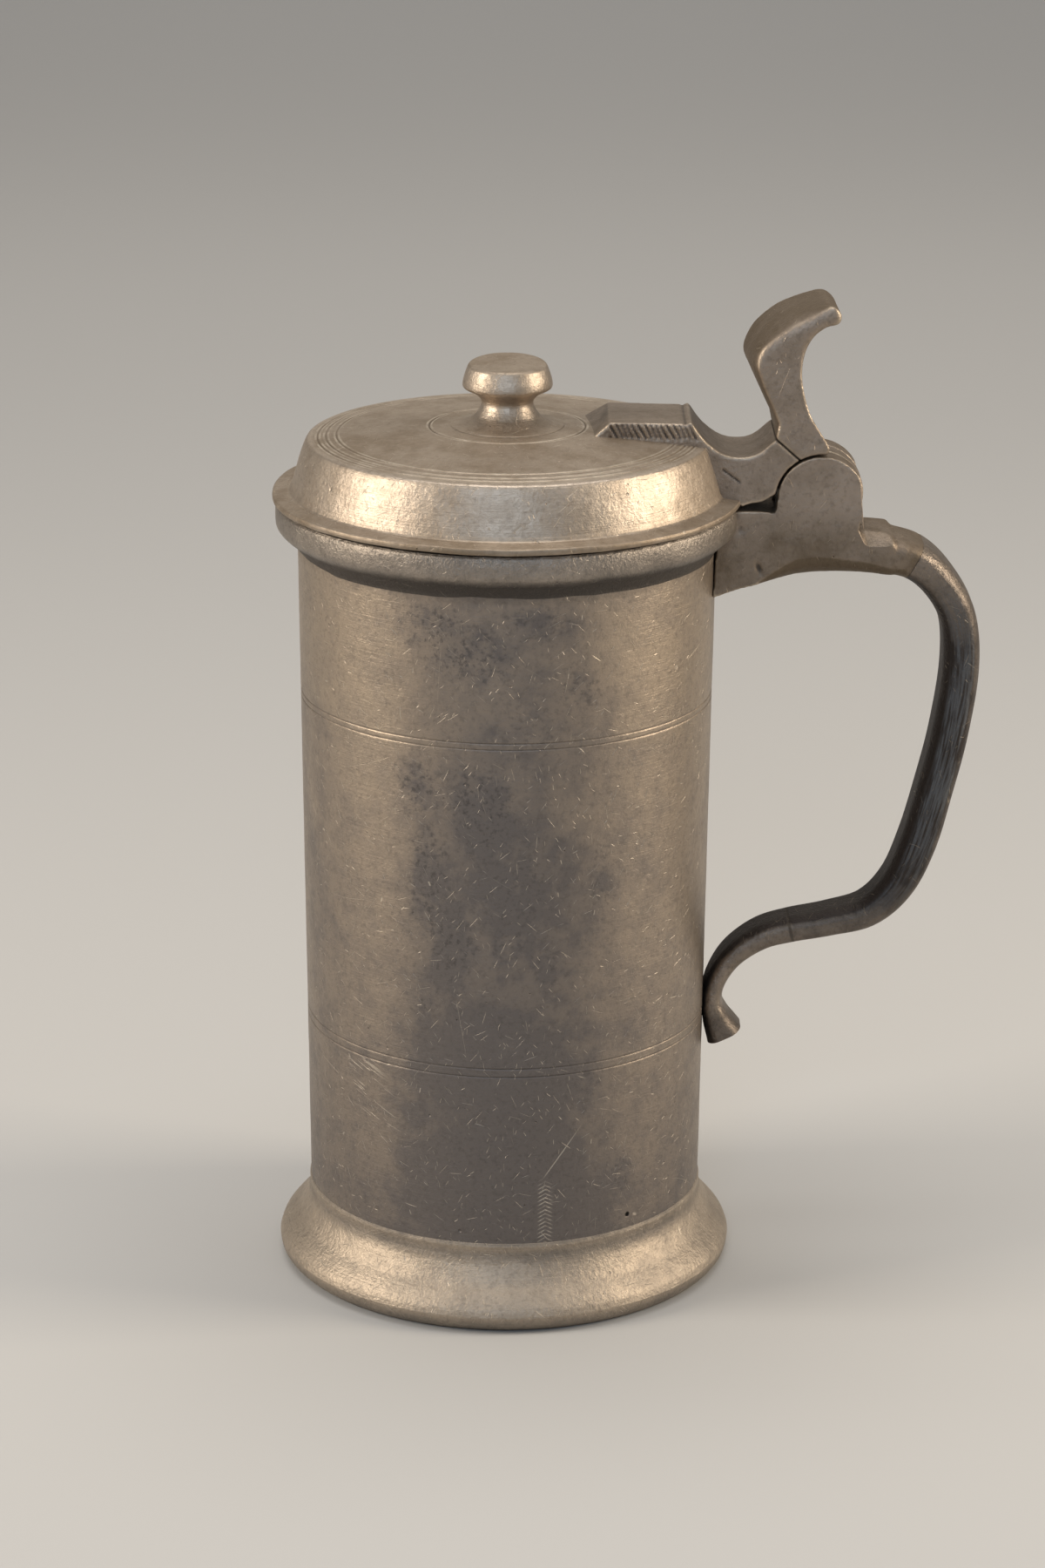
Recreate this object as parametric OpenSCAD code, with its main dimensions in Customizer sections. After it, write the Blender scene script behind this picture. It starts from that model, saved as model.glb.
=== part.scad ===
// Lidded flagon of cast and turned pewter: a tall drum on a spreading foot, a strap handle and a hinged lid.
// Origin on the drum's axis at table level. Z is up and the handle points along X.

/* [Drum] */
// Outside radius of the drum at its top
drum_top_r = 50.2; // [46:0.1:54]
// Outside radius of the drum at its bottom
drum_bottom_r = 48.4; // [45:0.1:50]
// Thickness of the drum's wall
drum_wall = 2.2; // [1.6:0.1:3]
// Height of the mouth above the table
mouth_z = 192.8; // [180:0.1:205]
// Height of the upper line of the upper pair
upper_line_z = 146.8; // [130:0.1:160]
// Spacing of the upper pair of lines
upper_line_gap = 1.5; // [1:0.1:3]
// Height of the upper line of the lower pair
lower_line_z = 65.7; // [50:0.1:80]
// Spacing of the lower pair of lines
lower_line_gap = 2.1; // [1:0.1:3]
// Width of an incised line
line_w = 0.7; // [0.4:0.1:0.9]
// Depth of an incised line
line_depth = 0.3; // [0.2:0.05:0.5]

/* [Foot] */
// Height of the foot moulding
foot_h = 20.5; // [17:0.1:25]
// Radius of the foot at its widest
foot_rim_r = 56.3; // [54:0.1:62]
// Height of the foot's widest line
foot_rim_z = 4.4; // [3:0.1:6]
// Outer radius of the ring that the foot rests on
foot_base_r = 53.2; // [51:0.1:54]
// Thickness of the foot's skirt
foot_wall = 2.6; // [2:0.1:3.5]
// Thickness of the base plate
plate_t = 2.0; // [1.5:0.1:3]
// Width of the ledge that carries the base plate
plate_ledge = 2.0; // [1:0.1:3]

/* [Lip] */
// How far the lip moulding stands out from the drum
lip_reach = 5.2; // [4:0.1:6.5]
// Height of the lip moulding
lip_h = 11.3; // [9:0.1:14]

/* [Lid] */
// How far the lid's flange reaches beyond the lip
flange_overhang = 0.7; // [0.2:0.1:1.5]
// Thickness of the flange at its rim
flange_t = 1.7; // [1.4:0.1:3]
// Gap between the lip and the flange
lid_gap = 0.4; // [0.3:0.05:0.8]
// Width of the flange's open face, from its rim to the foot of the lid's steep side
flange_face_w = 4.7; // [4:0.1:6]
// Height of the side's foot above the flange's rim
side_foot_rise = 1.7; // [1:0.1:3]
// Inward lean of the steep side, from its foot to the crease below the top
side_lean = 3.9; // [2.5:0.1:6]
// Height of the crease above the side's foot
side_h = 11.1; // [9:0.1:14]
// Rise of the domed top from the crease to its middle
dome_rise = 3.4; // [1:0.1:5]
// Thickness of the lid's metal
lid_wall = 2.0; // [1.6:0.1:2.6]
// Distance of the outermost turned line from the crease
outer_line_in = 2.4; // [1.5:0.1:3]
// Distance of the second turned line from the outermost
second_line_in = 2; // [1.5:0.1:3]
// Distance of the third turned line from the second
third_line_in = 2.5; // [1.5:0.1:4]
// Distance of the innermost turned line from the knob's foot
knob_line_out = 5; // [3:0.1:7]
// Depth of the locating ring below the flange
bezel_depth = 3.6; // [2:0.1:5]
// Thickness of the locating ring
bezel_wall = 2.0; // [1.5:0.1:3]
// Clearance between the locating ring and the mouth
bezel_clear = 0.5; // [0.4:0.05:1]

/* [Knob] */
// Radius of the knob's foot
knob_foot_r = 13.6; // [11:0.1:16]
// Thickness of the edge of the knob's foot
knob_foot_edge = 0.5; // [0.3:0.05:1]
// Radius of the knob's neck
knob_neck_r = 6.2; // [5:0.1:7.5]
// Radius of the knob's cap
knob_cap_r = 10.7; // [9.5:0.1:13]
// Height of the knob above its foot
knob_h = 14.8; // [13:0.1:18]
// Radius of the spigot that holds the knob in the lid
knob_spigot_r = 2.6; // [2:0.1:3.5]

/* [Hinge] */
// Distance of the hinge's middle beyond the rim of the lid's flange
hinge_reach = 18.3; // [17.5:0.1:20]
// Height of the hinge above the mouth
hinge_rise = 2.3; // [2:0.1:3]
// Radius of the hinge's cheeks and knuckle
hinge_r = 10.4; // [9.8:0.1:10.8]
// Width of the hinge from face to face
hinge_w = 20; // [18:0.1:22]
// Width of the middle knuckle
knuckle_w = 6.4; // [5:0.1:8]
// Clearance on each side of the knuckle
knuckle_side_clear = 0.2; // [0.15:0.05:0.4]
// Clearance between the knuckle or the cheeks and what turns round them
hinge_clear = 0.5; // [0.4:0.05:0.7]
// Radius of the hinge pin
pin_r = 1.6; // [1.2:0.1:2.2]
// Running clearance of the knuckle on the pin
pin_running = 0.05; // [0.02:0.01:0.08]
// Depth of the plugs that close the pin's hole
plug_depth = 1.6; // [1:0.1:2.5]

/* [Bracket] */
// Depth of the arm from the block's top to its underside
arm_depth = 9.8; // [9:0.1:12]
// Drop of the arm's underside on its way to the drum
arm_foot_drop = 5.6; // [3:0.1:8]
// Height of the worn round along the arm's lower edges
arm_round = 4.6; // [3:0.1:5]
// How far the arm's top lies below the mouth
arm_top_drop = 0.5; // [0.4:0.1:2]

/* [Handle] */
// Reach of the handle's middle line beyond the hinge
handle_reach = 35; // [33.5:0.1:39]
// Height of the tail's tip
tail_tip_z = 57; // [54:0.1:60]
// Width of the handle at the shoulder
handle_w = 18; // [16:0.1:20]
// Width of the handle at the tail
tail_w = 13; // [11:0.1:15]
// Thickness of the handle where it is grasped
handle_t = 9; // [7.5:0.1:10]

/* [Thumbpiece] */
// Height of the thumbpiece's top above the hinge
thumb_h = 46.6; // [43:0.1:50]
// Furthest reach of the thumbpiece's nose behind the hinge
thumb_nose = 4; // [3:0.1:6]

/* [Strap] */
// Width of the strap and the thumbpiece
strap_w = 22; // [20:0.1:24]
// Distance of the strap's nose from the edge of the knob's foot
strap_nose_gap = 6.4; // [5:0.1:10]
// Height of the strap's top above the mouth
strap_top_rise = 20.8; // [20.4:0.1:22]

/* [Hidden] */
$fn = 96;

// One film of solder between soldered pieces
solder = 0.05;
// How far cutting shapes run past what they cut
overrun = 20;
// Steps on each stretch of a smooth curve, and of the thumbpiece's tight curves
curve_steps = 6;
thumb_steps = 4;
// Steps on the hollow of the strap and on the hollow of the thumbpiece's heel
hollow_steps = 24;
heel_steps = 12;

pewter = "#8f877b";
dark_pewter = "#6f6a63";
pin_metal = "#b09a6a";

// A smooth curve through the points, cubic on each stretch, from the first point to the last
function at(p, i) = i < 0 ? 2 * p[0] - p[1] : i >= len(p) ? 2 * p[len(p) - 1] - p[len(p) - 2] : p[i];
function bend(a, b, c, d, t) =
    (2 * b + (c - a) * t + (2 * a - 5 * b + 4 * c - d) * t * t + (3 * b - a - 3 * c + d) * t * t * t) / 2;
function curve(p, steps = curve_steps) = [
    for (i = [0 : len(p) - 2], k = [0 : steps - 1]) bend(at(p, i - 1), p[i], p[i + 1], at(p, i + 2), k / steps),
    p[len(p) - 1]
];
// Points on an arc about a centre, from one angle to another
function arc(c, r, a0, a1, n = hollow_steps) = [
    for (i = [0 : n]) let (a = a0 + (a1 - a0) * i / n) [c[0] + r * cos(a), c[1] + r * sin(a)]
];
// Shares of a box between two corners, turned into places
function spread(shares, lo, hi) = [
    for (s = shares) [lo[0] + (hi[0] - lo[0]) * s[0], lo[1] + (hi[1] - lo[1]) * s[1]]
];

// Levels and radii that the pieces share
lip_r = drum_top_r + lip_reach;
flange_r = lip_r + flange_overhang;
side_foot_r = flange_r - flange_face_w;
crease_r = side_foot_r - side_lean;
outer_line_r = crease_r - outer_line_in;
second_line_r = outer_line_r - second_line_in;
third_line_r = second_line_r - third_line_in;
knob_line_r = knob_foot_r + knob_line_out;
hinge_x = flange_r + hinge_reach;
strap_nose_x = knob_foot_r + strap_nose_gap;
lip_bottom_z = mouth_z - lip_h;
flange_z = mouth_z + lid_gap;
flange_top_z = flange_z + flange_t;
side_foot_z = flange_top_z + side_foot_rise;
crease_z = side_foot_z + side_h;
lid_centre_z = crease_z + dome_rise;
hinge_z = mouth_z + hinge_rise;
slot_w = knuckle_w + 2 * knuckle_side_clear;
turn_r = hinge_r + hinge_clear;
strap_top_z = mouth_z + strap_top_rise;
drum_inner_top_r = drum_top_r - drum_wall;
drum_inner_bottom_r = drum_bottom_r - drum_wall;

// Outside radius of the drum at a height
function drum_r(z) = drum_bottom_r + (drum_top_r - drum_bottom_r) * (z - foot_h) / (mouth_z - foot_h);
// Height of the lid's domed top at a radius
function dome_z(r) = crease_z + dome_rise * (1 - r * r / (crease_r * crease_r));

// A ring with a V section, as an incised line is cut
module line_cut(r, z) {
    rotate_extrude()
        polygon([
            [r - line_depth, z],
            [r + line_depth, z + line_w],
            [r + line_depth, z - line_w]
        ]);
}

module drum() {
    color(pewter) difference() {
        rotate_extrude()
            polygon([
                [drum_inner_bottom_r, foot_h],
                [drum_bottom_r, foot_h],
                [drum_top_r, mouth_z],
                [drum_inner_top_r, mouth_z]
            ]);
        for (z = [upper_line_z, upper_line_z - upper_line_gap, lower_line_z, lower_line_z - lower_line_gap])
            line_cut(drum_r(z), z);
    }
}

plate_z = foot_h - plate_t;

module base_plate() {
    color(dark_pewter) translate([0, 0, plate_z])
        cylinder(r = drum_inner_bottom_r - solder, h = plate_t);
}

// Skirt of the foot between its top and its widest line, as shares of its width and height
foot_skirt_shares = [
    [0, 1], [0.063, 0.94], [0.063, 0.81], [0.15, 0.63], [0.38, 0.42], [0.68, 0.26], [0.91, 0.12], [1, 0]
];
// Turned-in edge below the widest line
foot_edge_shares = [[1, 1], [0.78, 0.45], [0.1, 0.05], [0, 0]];

module foot_ring() {
    skirt = curve(spread(foot_skirt_shares, [drum_bottom_r, foot_rim_z], [foot_rim_r, foot_h]));
    edge = curve(spread(foot_edge_shares, [foot_base_r, 0], [foot_rim_r, foot_rim_z]));
    inner = [for (p = skirt) if (p[1] < plate_z - foot_wall && p[1] > foot_rim_z + foot_wall / 2)
             [p[0] - foot_wall, p[1] - foot_wall / 2]];
    ledge_r = drum_inner_bottom_r - plate_ledge;
    color(pewter) rotate_extrude()
        polygon(concat(
            skirt,
            [for (i = [1 : len(edge) - 1]) edge[i]],
            [[foot_base_r - foot_wall, 0]],
            [for (i = [len(inner) - 1 : -1 : 0]) inner[i]],
            [[ledge_r, plate_z - foot_wall], [ledge_r, plate_z]],
            [[drum_inner_bottom_r, plate_z], [drum_inner_bottom_r, foot_h]]
        ));
}

// Lip moulding from the drum's wall to its top edge, as shares of its depth and height
lip_shares = [[0, 0], [0.08, 0.09], [0.4, 0.26], [0.83, 0.43], [0.98, 0.58], [1, 0.78], [0.94, 0.92], [0.8, 1]];
lip_outline = curve(spread(lip_shares, [drum_r(lip_bottom_z) + solder, lip_bottom_z], [lip_r, mouth_z]));
lip_top_r = lip_outline[len(lip_outline) - 1][0];

module lip_ring() {
    color(pewter) rotate_extrude()
        polygon(concat(lip_outline, [[drum_r(mouth_z) + solder, mouth_z]]));
}

// Everything that the drum and the lip fill, with a film of solder round it
module drum_and_lip_space() {
    rotate_extrude()
        polygon(concat(
            [[0, 0], [drum_r(0) + solder, 0], [drum_r(lip_bottom_z) + 2 * solder, lip_bottom_z]],
            [for (p = lip_outline) [p[0] + solder, p[1]]],
            [[lip_top_r + solder, mouth_z + overrun], [0, mouth_z + overrun]]
        ));
}

// A side view in X and Z, given thickness along Y about the middle
module slab(w) {
    translate([0, w / 2, 0])
        rotate([90, 0, 0])
        linear_extrude(w)
        children();
}

// The same for the strap and the thumbpiece, whose front faces are flush with the hinge's
module strap_slab() {
    translate([0, strap_w - hinge_w / 2, 0])
        rotate([90, 0, 0])
        linear_extrude(strap_w)
        children();
}

// Ends of the arm and of the block behind the cheeks, as shares of the hinge's radius, and the block's drop and corner
arm_end_share = 1.7;
block_end_share = 1.62;
block_drop_share = 0.84;
block_corner_shares = [0.87, 0.1];
arm_end_x = hinge_x + arm_end_share * hinge_r;
block_end_x = hinge_x + block_end_share * hinge_r;
block_top_z = hinge_z - block_drop_share * hinge_r;
arm_under_z = block_top_z - arm_depth;
bracket_foot_z = arm_under_z - arm_foot_drop;
// Underside of the arm from the drum to the handle, as shares of its length and of its rise
arm_under_shares = [[0, 0], [0.2, 0.5], [0.5, 0.95], [0.78, 1.05], [1, 0.9]];
arm_under = curve(spread(arm_under_shares, [drum_top_r - drum_wall / 2, bracket_foot_z], [arm_end_x, arm_under_z]));
// Worn lower edge of the arm, as shares of the round's height: place inwards and place upwards
arm_edge_shares = [[0.83, 0], [0.26, 0.41], [0, 1], [0, 1.5]];
// How far the plain side view starts above the arm's underside, as a share of the round's height
band_share = 1.2;
// Step from the block down to the handle, as a share of the round's height
step_share = 0.33;
// Steps of the underside's curve at the drum that have no round
bare_steps = 7;

// Lower band of the arm, its two lower edges worn round, carried along the underside
module arm_band() {
    half = hinge_w / 2;
    right = [for (s = arm_edge_shares) [half - arm_round * s[0], arm_round * s[1]]];
    section = concat(right, [for (i = [len(right) - 1 : -1 : 0]) [-right[i][0], right[i][1]]]);
    m = len(section);
    n = len(arm_under) - bare_steps;
    points = [for (i = [0 : n - 1], s = section) let (p = arm_under[i + bare_steps]) [p[0], s[0], p[1] + s[1]]];
    sides = [
        for (i = [0 : n - 2], j = [0 : m - 1])
            let (k = (j + 1) % m)
            each [[i * m + j, (i + 1) * m + k, i * m + k], [i * m + j, (i + 1) * m + j, (i + 1) * m + k]]
    ];
    caps = [[for (j = [0 : m - 1]) j], [for (j = [m - 1 : -1 : 0]) (n - 1) * m + j]];
    polyhedron(points, concat(sides, caps));
}

// Side view of the bracket above the worn band, with the round of its cheeks
module bracket_outline() {
    arm_top_z = mouth_z - arm_top_drop;
    corner = block_corner_shares * hinge_r;
    foot = [for (i = [0 : bare_steps]) arm_under[i]];
    above = [for (i = [bare_steps : len(arm_under) - 1]) arm_under[i] + [0, band_share * arm_round]];
    polygon(concat(
        foot,
        above,
        [[arm_end_x, block_top_z - step_share * arm_round], [block_end_x, block_top_z]],
        [[hinge_x + corner[0], block_top_z + corner[1]], [hinge_x + hinge_r, hinge_z]],
        [[hinge_x - hinge_r, hinge_z], [hinge_x - turn_r, arm_top_z], [drum_top_r, arm_top_z]]
    ));
    translate([hinge_x, hinge_z])
        circle(r = hinge_r);
}

module hinge_bracket() {
    color(dark_pewter) difference() {
        union() {
            slab(hinge_w)
                bracket_outline();
            arm_band();
        }
        drum_and_lip_space();
        slab(slot_w) {
            translate([hinge_x, hinge_z])
                circle(r = turn_r);
            translate([hinge_x - turn_r, hinge_z])
                square([2 * turn_r, overrun]);
        }
        slab(hinge_w + overrun)
            translate([hinge_x, hinge_z])
            circle(r = pin_r + solder);
    }
}

pin_len = hinge_w - 2 * plug_depth;

module hinge_pin() {
    color(pin_metal) translate([hinge_x, pin_len / 2, hinge_z])
        rotate([90, 0, 0])
        cylinder(r = pin_r, h = pin_len);
}

module pin_plugs() {
    for (side = [-1, 1])
        color(dark_pewter) translate([hinge_x, side * (hinge_w - plug_depth) / 2, hinge_z])
            rotate([90, 0, 0])
            cylinder(r = pin_r, h = plug_depth - solder, center = true);
}

// Middle line of the handle from the arm to the seam and on to the tail's tip, as shares of its reach and drop
handle_shares = [
    [0.64, 1], [0.8, 0.98], [0.912, 0.93], [0.985, 0.86], [1, 0.758], [0.966, 0.628], [0.916, 0.517], [0.858, 0.408],
    [0.78, 0.319], [0.664, 0.262], [0.506, 0.239], [0.35, 0.224],
    [0.23, 0.206], [0.12, 0.167], [0.055, 0.117], [0.038, 0.072], [0.055, 0.036], [0.09, 0]
];
// Thickness at each of those places, as shares of the grasped thickness
handle_t_shares = [1.05, 1.03, 0.96, 0.97, 1, 1, 1, 1.02, 0.95, 0.84, 0.76, 0.74, 0.69, 0.61, 0.54, 0.56, 0.74, 1];
// Stretches of the middle line before the seam
grip_steps = 11;
handle_lo = [drum_r(tail_tip_z), tail_tip_z];
handle_hi = [hinge_x + handle_reach, (block_top_z + arm_under_z) / 2];
handle_places = spread(handle_shares, handle_lo, handle_hi);
handle_last = len(handle_places) - 1;
// Corners of the strap's section: place across its width and place through its thickness
section_shares = [[0.58, 1], [1, 0.64], [1, -0.58], [0.62, -1], [-0.62, -1], [-1, -0.58], [-1, 0.64], [-0.58, 1]];

// Width of the handle at a place
function handle_w_at(i) = handle_w + (tail_w - handle_w) * min(1, i / grip_steps);
// Direction in X and Z from one place to the next, evened out over both neighbours
function heading(p, i) =
    let (d = i == 0 ? p[1] - p[0] : i == len(p) - 1 ? p[i] - p[i - 1] : p[i + 1] - p[i - 1]) d / norm(d);

widths_all = [for (i = [0 : handle_last]) handle_w_at(i)];
thicks_all = handle_t * handle_t_shares;
path_curve = curve(handle_places);
width_curve = curve([for (w = widths_all) [w, 0]]);
thick_curve = curve([for (t = thicks_all) [t, 0]]);
seam_step = grip_steps * curve_steps;

// The handle's strap of eight-sided section, from one step of its path to another
module strap_sweep(first, last) {
    m = len(section_shares);
    n = last - first + 1;
    points = [
        for (i = [first : last])
            let (d = heading(path_curve, i), w = width_curve[i][0] / 2, t = thick_curve[i][0] / 2)
            for (s = section_shares)
                [path_curve[i][0] - d[1] * s[1] * t, s[0] * w, path_curve[i][1] + d[0] * s[1] * t]
    ];
    sides = [
        for (i = [0 : n - 2], j = [0 : m - 1])
            let (k = (j + 1) % m)
            each [[i * m + j, i * m + k, (i + 1) * m + k], [i * m + j, (i + 1) * m + k, (i + 1) * m + j]]
    ];
    caps = [[for (j = [m - 1 : -1 : 0]) j], [for (j = [0 : m - 1]) (n - 1) * m + j]];
    polyhedron(points, concat(sides, caps));
}

module handle_grip() {
    color(dark_pewter) difference() {
        strap_sweep(0, seam_step);
        translate([0, -overrun, arm_under_z - handle_t])
            cube([arm_end_x + solder, 2 * overrun, mouth_z]);
    }
}

module handle_tail() {
    color(dark_pewter) difference() {
        strap_sweep(seam_step, len(path_curve) - 1);
        drum_and_lip_space();
    }
}

// Steep side of the lid from its foot to the crease, as shares of its inward lean and height
side_shares = [[0, 0], [0.2, 0.25], [0.5, 0.6], [0.78, 0.88], [1, 1]];
side_outline = curve(spread(side_shares, [side_foot_r, side_foot_z], [crease_r, crease_z]));
// Rings of the domed top from the crease inwards
dome_steps = 16;
function dome(r_from, r_to) = [
    for (i = [1 : dome_steps]) let (r = r_from + (r_to - r_from) * i / dome_steps) [r, dome_z(r)]
];
spigot_hole_r = knob_spigot_r + solder;
cover_inner_r = side_foot_r - lid_wall;

module lid_cover() {
    outer = concat([[flange_r, flange_z], [flange_r, flange_top_z]], side_outline, dome(crease_r, spigot_hole_r));
    roof = [for (p = dome(crease_r - lid_wall, spigot_hole_r)) [p[0], p[1] - lid_wall]];
    color(pewter) difference() {
        rotate_extrude()
            polygon(concat(
                outer,
                [for (i = [len(roof) - 1 : -1 : 0]) roof[i]],
                [[cover_inner_r, side_foot_z], [cover_inner_r, flange_z]]
            ));
        for (r = [outer_line_r, second_line_r, third_line_r, knob_line_r])
            line_cut(r, dome_z(r));
    }
}

bezel_r = drum_inner_top_r - bezel_clear;

module lid_bezel() {
    color(dark_pewter) rotate_extrude()
        polygon([
            [bezel_r, flange_z - bezel_depth],
            [bezel_r, flange_z],
            [cover_inner_r - solder, flange_z],
            [cover_inner_r - solder, flange_top_z],
            [bezel_r - bezel_wall, flange_top_z],
            [bezel_r - bezel_wall, flange_z - bezel_depth]
        ]);
}

// Knob from its foot's edge over the neck and the cap to its middle, as shares of the cap's radius and the height
neck_share = knob_neck_r / knob_cap_r;
knob_shares = [
    [0.95, 0.07], [0.72, 0.17], [neck_share, 0.35], [0.64, 0.46], [0.82, 0.555], [0.96, 0.61], [1, 0.67], [0.975, 0.78],
    [0.9, 0.92], [0.855, 0.965], [0.78, 0.985], [0, 1.02]
];

module knob() {
    foot_z = dome_z(knob_foot_r);
    body = spread(knob_shares, [0, foot_z], [knob_cap_r, foot_z + knob_h]);
    under = dome(knob_foot_r, knob_spigot_r);
    color(pewter) rotate_extrude()
        polygon(concat(
            [[knob_foot_r, foot_z + solder]],
            curve(concat([[knob_foot_r, foot_z + knob_foot_edge]], body)),
            [[0, lid_centre_z - lid_wall], [knob_spigot_r, lid_centre_z - lid_wall]],
            [for (i = [dome_steps - 1 : -1 : 0]) [under[i][0], under[i][1] + solder]]
        ));
}

// Outer surface of the lid, grown by a film of solder, as a solid to cut what is fixed on it
module lid_space() {
    rotate_extrude()
        polygon(concat(
            [[0, lip_bottom_z], [flange_r + solder, lip_bottom_z], [flange_r + solder, flange_top_z + solder]],
            [for (p = concat(side_outline, dome(crease_r, 0))) [p[0] + solder * p[0] / crease_r, p[1] + solder]]
        ));
}

// Where the strap and the thumbpiece are joined, as an angle round the hinge
seam_deg = 119;
// Where the strap ends below, beside the hinge's cheeks
strap_end_deg = 173;
// Where the thumbpiece's heel ends above the hinge
thumb_heel_deg = 84;
// How far the knuckle's web stays inside the strap's ends
web_margin_deg = 3;
// Saddle of the strap and the underside's far end, as shares of the way from the lid's crease to the hinge
saddle_shares = [[-0.153, 1], [-0.033, 0.768], [0.122, 0.6], [0.276, 0.551], [0.428, 0.6], [0.588, 0.79]];
strap_under_shares = [[0.476, -0.032], [0.375, -0.054], [0.297, -0.097], [0.145, -0.097]];
saddle_lo = [crease_r, hinge_z];
saddle_hi = [hinge_x, strap_top_z];
strap_saddle = curve(spread(saddle_shares, saddle_lo, saddle_hi));
// Flat top of the strap, as shares of the way from its nose to the saddle
strap_top_shares = [[0, 0], [0, 0.8], [0.172, 1], [0.942, 0.985]];
strap_top_lo = [strap_nose_x, hinge_z];
strap_top_hi = [strap_saddle[0][0], strap_top_z];
seam_top = strap_saddle[len(strap_saddle) - 1];

module lid_strap() {
    web_r = turn_r + hinge_clear / 2;
    color(dark_pewter) difference() {
        union() {
            difference() {
                strap_slab()
                    polygon(concat(
                        spread(strap_top_shares, strap_top_lo, strap_top_hi),
                        strap_saddle,
                        arc([hinge_x, hinge_z], turn_r, seam_deg, strap_end_deg),
                        spread(strap_under_shares, saddle_lo, saddle_hi)
                    ));
                lid_space();
            }
            slab(knuckle_w) {
                translate([hinge_x, hinge_z])
                    circle(r = hinge_r);
                polygon(concat(
                    [[hinge_x, hinge_z]],
                    arc([hinge_x, hinge_z], web_r, seam_deg + web_margin_deg, strap_end_deg - web_margin_deg)
                ));
            }
        }
        slab(hinge_w + overrun)
            translate([hinge_x, hinge_z])
            circle(r = pin_r + pin_running);
    }
}

// Reach of the thumbpiece's belly in front of the hinge, as a share of its height
thumb_belly_share = 0.334;
// Thumbpiece from the seam up its front, over the top and down its back to the heel, as shares of its box
thumb_front_shares = [
    [0.268, 0.39], [0.211, 0.453], [0.124, 0.534], [0.055, 0.605], [0, 0.689], [0.05, 0.77], [0.227, 0.833],
    [0.443, 0.89], [0.613, 0.927], [0.768, 0.972], [0.887, 1], [0.985, 0.965], [1, 0.93], [0.95, 0.895]
];
thumb_back_shares = [
    [0.83, 0.893], [0.675, 0.843], [0.572, 0.77], [0.526, 0.682], [0.541, 0.597], [0.603, 0.494], [0.68, 0.414],
    [0.835, 0.309], [0.892, 0.264]
];
thumb_lo = [hinge_x - thumb_belly_share * thumb_h, hinge_z];
thumb_hi = [hinge_x + thumb_nose, hinge_z + thumb_h];

module thumbpiece() {
    seam_end = arc([hinge_x, hinge_z], turn_r, seam_deg, seam_deg, 1)[0];
    film = solder * [1, 1] / sqrt(2);
    color(dark_pewter) strap_slab()
        polygon(concat(
            [seam_top + film],
            curve(spread(thumb_front_shares, thumb_lo, thumb_hi), thumb_steps),
            curve(spread(thumb_back_shares, thumb_lo, thumb_hi), thumb_steps),
            arc([hinge_x, hinge_z], turn_r, thumb_heel_deg, seam_deg, heel_steps),
            [seam_end + film]
        ));
}

drum();
base_plate();
foot_ring();
lip_ring();
hinge_bracket();
handle_grip();
handle_tail();
hinge_pin();
pin_plugs();
lid_cover();
lid_bezel();
knob();
lid_strap();
thumbpiece();
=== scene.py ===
from functools import reduce

import bmesh
import bpy
import numpy as np
from mathutils import Matrix


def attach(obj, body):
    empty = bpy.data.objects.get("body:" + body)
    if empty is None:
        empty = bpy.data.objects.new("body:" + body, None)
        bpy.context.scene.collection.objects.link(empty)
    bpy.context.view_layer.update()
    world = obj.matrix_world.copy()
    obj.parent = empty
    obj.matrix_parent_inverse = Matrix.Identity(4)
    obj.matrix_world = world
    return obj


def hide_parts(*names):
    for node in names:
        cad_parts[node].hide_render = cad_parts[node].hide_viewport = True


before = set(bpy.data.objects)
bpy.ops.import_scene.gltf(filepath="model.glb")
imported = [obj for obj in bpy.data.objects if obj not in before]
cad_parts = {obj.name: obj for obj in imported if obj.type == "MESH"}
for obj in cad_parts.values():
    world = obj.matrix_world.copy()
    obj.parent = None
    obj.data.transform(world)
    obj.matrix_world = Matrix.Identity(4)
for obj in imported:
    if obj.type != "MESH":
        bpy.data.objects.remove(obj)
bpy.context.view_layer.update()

# The drum: a tapering wall of pewter, cast and then skimmed on a lathe.
# Two pairs of lines are cut in it while it turns, and each cut throws up a slight bead.
# Years of handling left dull blotches on its front, fine scratches and a few pits.
mm = 0.001
drum_foot_z, lip_foot_z, mouth_z = 20.5, 181.5, 192.8
drum_foot_r, drum_mouth_r, drum_wall = 48.4, 50.2, 2.2
cut_heights = (146.8, 145.3, 65.7, 63.6)
cut_depth, cut_half_width = 0.14, 0.16
bead_height, bead_off, bead_half_width = 0.01, 0.62, 0.22


def smooth_line(places, steps):
    """Line through the places: from b to c, with a before and d after, it is
    (2b + (c-a)t + (2a-5b+4c-d)t^2 + (3b-a-3c+d)t^3) / 2 for t from 0 to 1."""
    p = np.asarray(places, float)
    p = np.vstack([2 * p[:1] - p[1:2], p, 2 * p[-1:] - p[-2:-1]])
    a, b, c, d = (p[i:len(p) - 3 + i, None, :] for i in range(4))
    t = (np.arange(steps) / steps)[None, :, None]
    line = (2 * b + (c - a) * t + (2 * a - 5 * b + 4 * c - d) * t**2 + (3 * b - a - 3 * c + d) * t**3) / 2
    return np.vstack([line.reshape(-1, p.shape[1]), p[-2]])


def stretched(shares, low, high):
    """Shares of a box, turned into places: low + (high - low) * share."""
    low = np.asarray(low, float)
    return low + (np.asarray(high, float) - low) * np.asarray(shares, float)


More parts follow.
